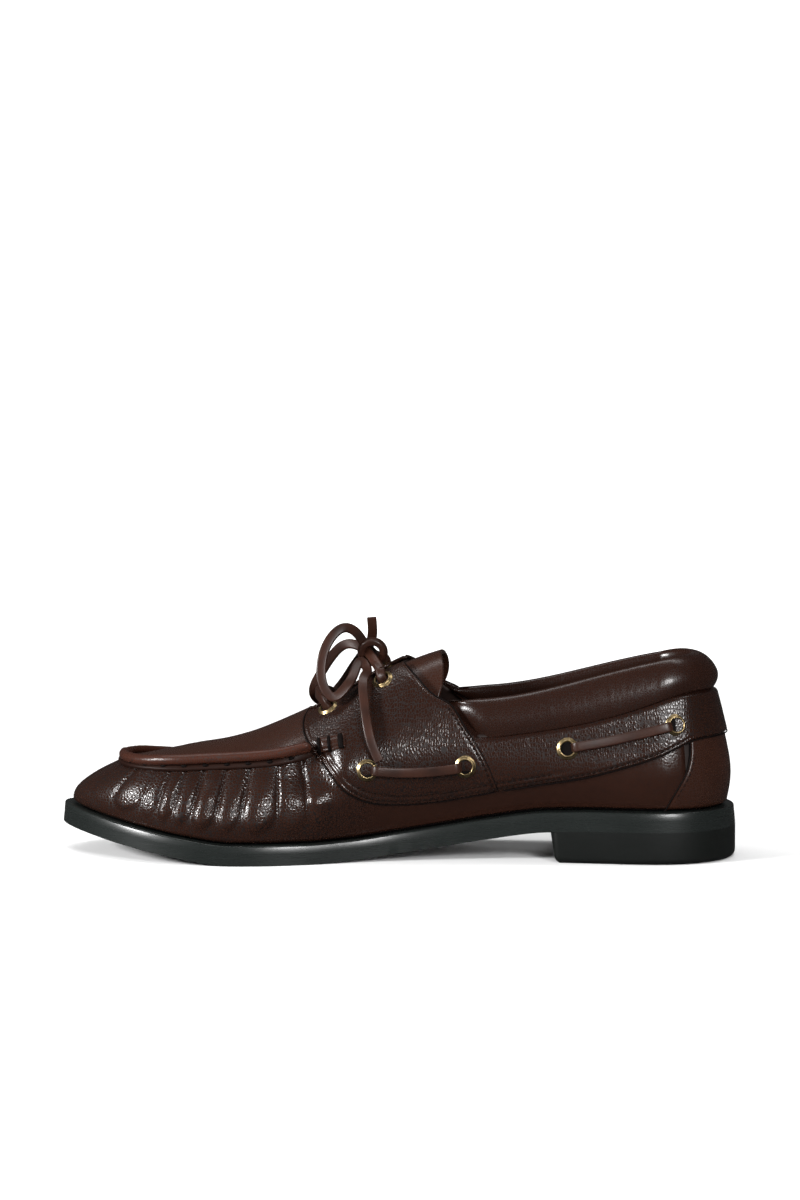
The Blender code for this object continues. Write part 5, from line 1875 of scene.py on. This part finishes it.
def build_lace():
    """The tie lace: two strands from the top eyelets through the knot, each with a loop and an end."""
    strands = (
        ("lace_inner", (*OUTER_STRAND, *INNER_LOOP, *INNER_END), ["lace_loop_inner", "lace_end_inner"]),
        ("lace_outer", (*INNER_STRAND, *OUTER_BOW), ["lace_bow_outer", "lace_knot"]),
    )
    for name, points, nodes in strands:
        path = through(points, spacing=LACE_STEP)
        shape = carry(path, [LACE_FACES] * len(path), lace_outline())
        piece = add_piece(name, shape, "lace", "lace", nodes, sharp=60)
        [c * MM for c in points[0]]
        path_length(path) * MM
    turns = np.linspace(*KNOT_WRAP, 46)
    ring = [(KNOT_ALONG * math.cos(a), -KNOT_ASIDE * math.sin(a), KNOT_UP * math.sin(a)) for a in turns]
    wrap = np.add(KNOT_CENTRE, ring)
    outs = [(math.cos(a), -0.35, math.sin(a)) for a in turns]
    add_piece("lace_knot_wrap", carry(wrap, outs, rounded(4.0, 2.9, 0.8)), "lace", "lace", sharp=60)

    roots = []
    for side, strand in ((INNER, INNER_STRAND), (OUTER, OUTER_STRAND)):
        hole, normal = throat_hole(side, 1)
        root = through([hole - normal * HOLE_DEEP, hole + normal * 1.6, *strand[:2]], spacing=0.8)
        roots.append(carry(root, [(0.4, -1.0, 0.3)] * len(root), lace_outline(0.2, 0.1)))
    add_piece("lace_roots", merge_shapes(roots), "lace", "lace", sharp=60)

    low = through(LOW_CROSSING, spacing=LACE_STEP)
    (first, first_up), (last, last_up) = throat_hole(INNER, 0), throat_hole(OUTER, 0)
    start = [first - first_up * HOLE_DEEP, first + first_up * 1.4]
    end = [last + last_up * 1.4, last - last_up * HOLE_DEEP]
    low = through([*start, *low[2:-2], *end], spacing=LACE_STEP)
    shape = carry(low, transported(low, (0, 0, 1)), lace_outline())
    add_piece("lace_low_crossing", shape, "lace", "lace", ["lace_crossing"], sharp=60)
    for word, side in SIDES.items():
        for part, eyelets, sag in (("front", WALL_EYELETS[:2], 1.6), ("back", WALL_EYELETS[2:], 0.6)):
            shape = carry(*bar_path(side, *eyelets, sag), lace_outline(thinner=0.3))
            name, nodes = f"collar_lace_{word}_{part}", [f"lace_bar_{word}_{part}"]
            add_piece(name, shape, "lace", "lace", nodes, sharp=60)


# A bar of the collar lace: how far from its eyelet it starts, how deep, and how far it rises within BAR_UP.
BAR_START, BAR_DEEP, BAR_RISE, BAR_UP = 1.4, -2.6, 5.2, 2.2
BAR_PRESSED = 0.9


def bar_path(side, start, end, sag):
    """A lace along the wall, out of one eyelet's hole and into the next."""
    path, outs = [], []
    long = abs(end[1] - start[1])
    for t in np.linspace(BAR_START / long, 1 - BAR_START / long, 60):
        x = start[1] + (end[1] - start[1]) * t
        height = start[2] + (end[2] - start[2]) * t - sag * math.sin(math.pi * t)
        normal = wall_normal(side, x, height)
        inwards = min(t, 1 - t) * long - BAR_START
        lift = BAR_DEEP + BAR_RISE * float(ease(0.0, BAR_UP, inwards))
        lift -= BAR_PRESSED * math.sin(math.pi * t) ** 2
        path.append(on_wall(side, x, height) + normal * lift)
        outs.append(normal)
    return path, outs


# Stage.

CAMERA_PLACE = (186.9, -2365.3, 377.8)
CAMERA_AIM = (-0.157, 12.39, 110.23)
CAMERA_LENS = 162.49
# The light table, in metres: a floor, and round it a white dish that only the camera sees.
FLOOR_RADIUS = 1.2
GLOW_START, GLOW_END, GLOW = 0.4, 0.95, 0.9
DISH_PROFILE = ((1.2, 0.0), (2.9, 0.0), (3.15, 0.12), (3.3, 0.4), (3.3, 3.2))
DISH_STEPS = 96


def board(name, glow):
    """Matt white board, lit from below by a glow of its own: an even white with no edge."""
    material, tree, shader = start_material(name, 1.45, gloss=0.0)
    shader.inputs["Base Color"].default_value = linear("#e2e2e2")
    shader.inputs["Roughness"].default_value = 0.9
    shader.inputs["Emission Color"].default_value = (1.0, 1.0, 1.0, 1.0)
    shader.inputs["Emission Strength"].default_value = glow
    return material, tree, shader


def build_floor():
    """The matt white floor under the shoe, which glows more and more towards its edge."""
    sheet = bmesh.new()
    bmesh.ops.create_circle(sheet, cap_ends=True, segments=DISH_STEPS, radius=FLOOR_RADIUS)
    material, tree, shader = board("matt_white_board", 0.0)
    away = add_node(tree, "ShaderNodeVectorMath", {"operation": "LENGTH"}, {0: object_place(tree)})
    glow = remap(tree, away.outputs["Value"], GLOW_START, GLOW_END, high=GLOW, soft=True)
    tree.links.new(glow, shader.inputs["Emission Strength"])
    floor = link_mesh("floor", sheet, material)
    # Black cards keep the white floor out of the leather's shine.
    floor.visible_glossy = False


def build_dish():
    """The lit white dish round the floor."""
    dish = link_mesh("backdrop", turned(DISH_PROFILE, DISH_STEPS, False), board("lit_white_board", 1.0)[0])
    dish.visible_diffuse = dish.visible_glossy = dish.visible_transmission = dish.visible_shadow = False


def point_at(holder, place, aim, unit=1.0):
    """Sets a lamp or a camera in its place and turns it to its aim."""
    holder.location = Vector(place) * unit
    holder.rotation_mode = "QUATERNION"
    holder.rotation_quaternion = (Vector(aim) - Vector(place)).to_track_quat("-Z", "Y")
    bpy.context.scene.collection.objects.link(holder)


# The lights, in metres: name, place, aim, size, the setting with its power, and whether it makes a shine.
# The ones that don't are polarised: they light the leather without a haze on it.
LIGHTS = (
    ("top_softbox", (0.0, 0.35, 1.5), (0.0, 0.25, 0.0), (2.2, 1.5), "top_watts", False),
    ("overhead_strip", (0.0, 0.15, 1.5), (0.0, 0.15, 0.0), (1.6, 0.3), "strip_watts", True),
    ("back_fill", (0.3, 1.90, 0.70), (0.0, 0.0, 0.04), (1.2, 0.6), "back_watts", False),
    ("left_softbox", (-1.35, -0.80, 0.62), (-0.03, 0.0, 0.04), (0.40, 0.30), "left_watts", True),
    ("front_fill", (0.6, -1.65, 0.35), (0.03, 0.0, 0.04), (1.2, 0.6), "front_watts", False),
    ("right_softbox", (0.74, -1.42, 0.72), (0.05, 0.0, 0.05), (0.45, 0.35), "right_watts", True),
)


def build_stage():
    """The floor, the dish, the lights and the camera."""
    scene = bpy.context.scene
    build_floor()
    build_dish()

    world = bpy.data.worlds.new("studio")
    world.use_nodes = True
    light = world.node_tree.nodes["Background"].inputs
    light["Color"].default_value = (1.0, 1.0, 1.0, 1.0)
    light["Strength"].default_value = loafer().world_light
    scene.world = world

    for name, place, aim, size, watts, shines in LIGHTS:
        lamp = bpy.data.lights.new(name, "AREA")
        lamp.shape = "RECTANGLE"
        lamp.size, lamp.size_y = size
        lamp.energy = getattr(loafer(), watts)
        holder = bpy.data.objects.new(name, lamp)
        holder.visible_glossy = shines
        point_at(holder, place, aim)

    camera = bpy.data.cameras.new("camera")
    camera.lens = CAMERA_LENS
    camera.sensor_width = 36.0
    camera.clip_end = 100.0
    eye = bpy.data.objects.new("camera", camera)
    point_at(eye, CAMERA_PLACE, CAMERA_AIM, MM)
    scene.camera = eye
    scene.view_settings.view_transform = "Standard"


# The add-on: settings, one operator for each group of pieces, and a panel.


def length_setting(name, description, default, least, most):
    """A length, in metres."""
    about = {"name": name, "description": description, "subtype": "DISTANCE", "unit": "LENGTH"}
    return bpy.props.FloatProperty(default=default, min=least, max=most, **about)


def light_setting(name, description, default):
    """A light's strength or its power in watts."""
    return bpy.props.FloatProperty(name=name, description=description, default=default, min=0.0)


class LoaferSettings(bpy.types.PropertyGroup):
    """Sizes, colours and light that a user would change."""

    leather_dye: bpy.props.FloatVectorProperty(
        name="Leather dye",
        description="Colour laid over every leather piece; white leaves the leather as it is",
        default=(1.0, 1.0, 1.0),
        min=0.0,
        max=4.0,
        size=3,
        subtype="COLOR",
    )
    fold_height: bpy.props.FloatProperty(
        name="Fold height",
        description="Height of the gathers at the toe, 1 being as lasted",
        default=1.0,
        min=0.0,
        max=1.4,
    )
    panel_thick: length_setting(
        "Leather thickness", "Thickness of the upper's leather", 0.0008, 0.0004, 0.0016
    )
    stitch_pitch: length_setting(
        "Stitch length", "Distance from stitch to stitch along the seams", 0.0026, 0.0015, 0.006
    )
    rim_pitch: length_setting(
        "Rim stitch length", "Distance from stitch to stitch along the rim", 0.0095, 0.004, 0.02
    )
    lace_width: length_setting("Lace width", "Width of the lace", 0.0042, 0.003, 0.005)
    lace_thick: length_setting("Lace thickness", "Thickness of the lace", 0.0024, 0.0015, 0.003)
    world_light: light_setting("Room light", "Strength of the even light from all round", 0.05)
    top_watts: light_setting("Top light", "Power of the softbox overhead, in watts", 16.0)
    strip_watts: light_setting("Strip light", "Power of the strip overhead, in watts", 10.0)
    back_watts: light_setting("Back fill", "Power of the fill light behind the shoe, in watts", 14.0)
    left_watts: light_setting("Left light", "Power of the low light on the toe's side, in watts", 50.0)
    front_watts: light_setting("Front fill", "Power of the fill light below the camera, in watts", 13.0)
    right_watts: light_setting("Right light", "Power of the low light on the heel's side, in watts", 24.0)


class LOAFER_OT_stage(bpy.types.Operator):
    """Sets up the floor, the lights and the camera."""

    bl_idname = "loafer.stage"
    bl_label = "Stage"

    def execute(self, context):
        build_stage()
        return {"FINISHED"}


class LOAFER_OT_lace(bpy.types.Operator):
    """Builds the tie lace, its knot and the collar lace."""

    bl_idname = "loafer.lace"
    bl_label = "Lace"

    def execute(self, context):
        build_lace()
        return {"FINISHED"}


class LOAFER_OT_sole(bpy.types.Operator):
    """Builds the sole plate, the welt, the heel and the sock."""

    bl_idname = "loafer.sole"
    bl_label = "Sole"

    def execute(self, context):
        build_sole()
        return {"FINISHED"}


class LOAFER_OT_lining(bpy.types.Operator):
    """Builds the lining inside the wall."""

    bl_idname = "loafer.lining"
    bl_label = "Lining"

    def execute(self, context):
        build_lining()
        return {"FINISHED"}


class LOAFER_OT_skirt(bpy.types.Operator):
    """Builds the gathered skirt round the toe and along the sides."""

    bl_idname = "loafer.skirt"
    bl_label = "Skirt"

    def execute(self, context):
        build_skirt()
        return {"FINISHED"}


class LOAFER_OT_plug(bpy.types.Operator):
    """Builds the plug inside the rim."""

    bl_idname = "loafer.plug"
    bl_label = "Plug"

    def execute(self, context):
        build_plug()
        return {"FINISHED"}


class LOAFER_OT_quarters(bpy.types.Operator):
    """Builds the quarters and the back strap."""

    bl_idname = "loafer.quarters"
    bl_label = "Quarters"

    def execute(self, context):
        build_quarters()
        return {"FINISHED"}


class LOAFER_OT_counter(bpy.types.Operator):
    """Builds the counter round the heel."""

    bl_idname = "loafer.counter"
    bl_label = "Counter"

    def execute(self, context):
        build_counter()
        return {"FINISHED"}


class LOAFER_OT_saddle(bpy.types.Operator):
    """Builds the saddle's two wings."""

    bl_idname = "loafer.saddle"
    bl_label = "Saddle"

    def execute(self, context):
        build_saddle()
        return {"FINISHED"}


class LOAFER_OT_edges(bpy.types.Operator):
    """Builds the black inked edges of the overlays, with their painted shadow lines."""

    bl_idname = "loafer.edges"
    bl_label = "Inked edges"

    def execute(self, context):
        build_edges()
        return {"FINISHED"}


class LOAFER_OT_rim(bpy.types.Operator):
    """Builds the apron's roll, lip and hand stitches."""

    bl_idname = "loafer.rim"
    bl_label = "Rim"

    def execute(self, context):
        build_rim()
        return {"FINISHED"}


class LOAFER_OT_tabs(bpy.types.Operator):
    """Builds the stitched tabs at the rim's ends."""

    bl_idname = "loafer.tabs"
    bl_label = "Tabs"

    def execute(self, context):
        build_tabs()
        return {"FINISHED"}


class LOAFER_OT_collar(bpy.types.Operator):
    """Builds the padded collar."""

    bl_idname = "loafer.collar"
    bl_label = "Collar"

    def execute(self, context):
        build_collar()
        return {"FINISHED"}


class LOAFER_OT_tongue(bpy.types.Operator):
    """Builds the tongue."""

    bl_idname = "loafer.tongue"
    bl_label = "Tongue"

    def execute(self, context):
        build_tongue()
        return {"FINISHED"}


class LOAFER_OT_eyelets(bpy.types.Operator):
    """Builds the metal eyelets."""

    bl_idname = "loafer.eyelets"
    bl_label = "Eyelets"

    def execute(self, context):
        build_eyelets()
        return {"FINISHED"}


class LOAFER_OT_stitches(bpy.types.Operator):
    """Builds the rows of fine stitching."""

    bl_idname = "loafer.stitches"
    bl_label = "Stitches"

    def execute(self, context):
        build_stitches()
        return {"FINISHED"}


PIECE_OPERATORS = [
    LOAFER_OT_lace,
    LOAFER_OT_sole,
    LOAFER_OT_lining,
    LOAFER_OT_skirt,
    LOAFER_OT_plug,
    LOAFER_OT_quarters,
    LOAFER_OT_counter,
    LOAFER_OT_saddle,
    LOAFER_OT_edges,
    LOAFER_OT_rim,
    LOAFER_OT_tabs,
    LOAFER_OT_collar,
    LOAFER_OT_tongue,
    LOAFER_OT_eyelets,
    LOAFER_OT_stitches,
]
CLASSES = [LoaferSettings, LOAFER_OT_stage, *PIECE_OPERATORS]


class LOAFER_PT_pieces(bpy.types.Panel):
    """Lists the loafer's pieces."""

    bl_label = "Loafer"
    bl_space_type = "VIEW_3D"
    bl_region_type = "UI"
    bl_category = "Loafer"

    def draw(self, context):
        for name in LoaferSettings.__annotations__:
            self.layout.prop(context.scene.loafer, name)
        for made in CLASSES[1:]:
            self.layout.operator(made.bl_idname)


CLASSES.append(LOAFER_PT_pieces)


def register():
    for made in CLASSES:
        bpy.utils.register_class(made)
    bpy.types.Scene.loafer = bpy.props.PointerProperty(type=LoaferSettings)


def unregister():
    del bpy.types.Scene.loafer
    for made in reversed(CLASSES):
        bpy.utils.unregister_class(made)


def main():
    register()
    bpy.ops.loafer.stage()
    for made in PIECE_OPERATORS:
        getattr(bpy.ops.loafer, made.bl_idname.split(".")[1])()


if __name__ == "__main__":
    main()
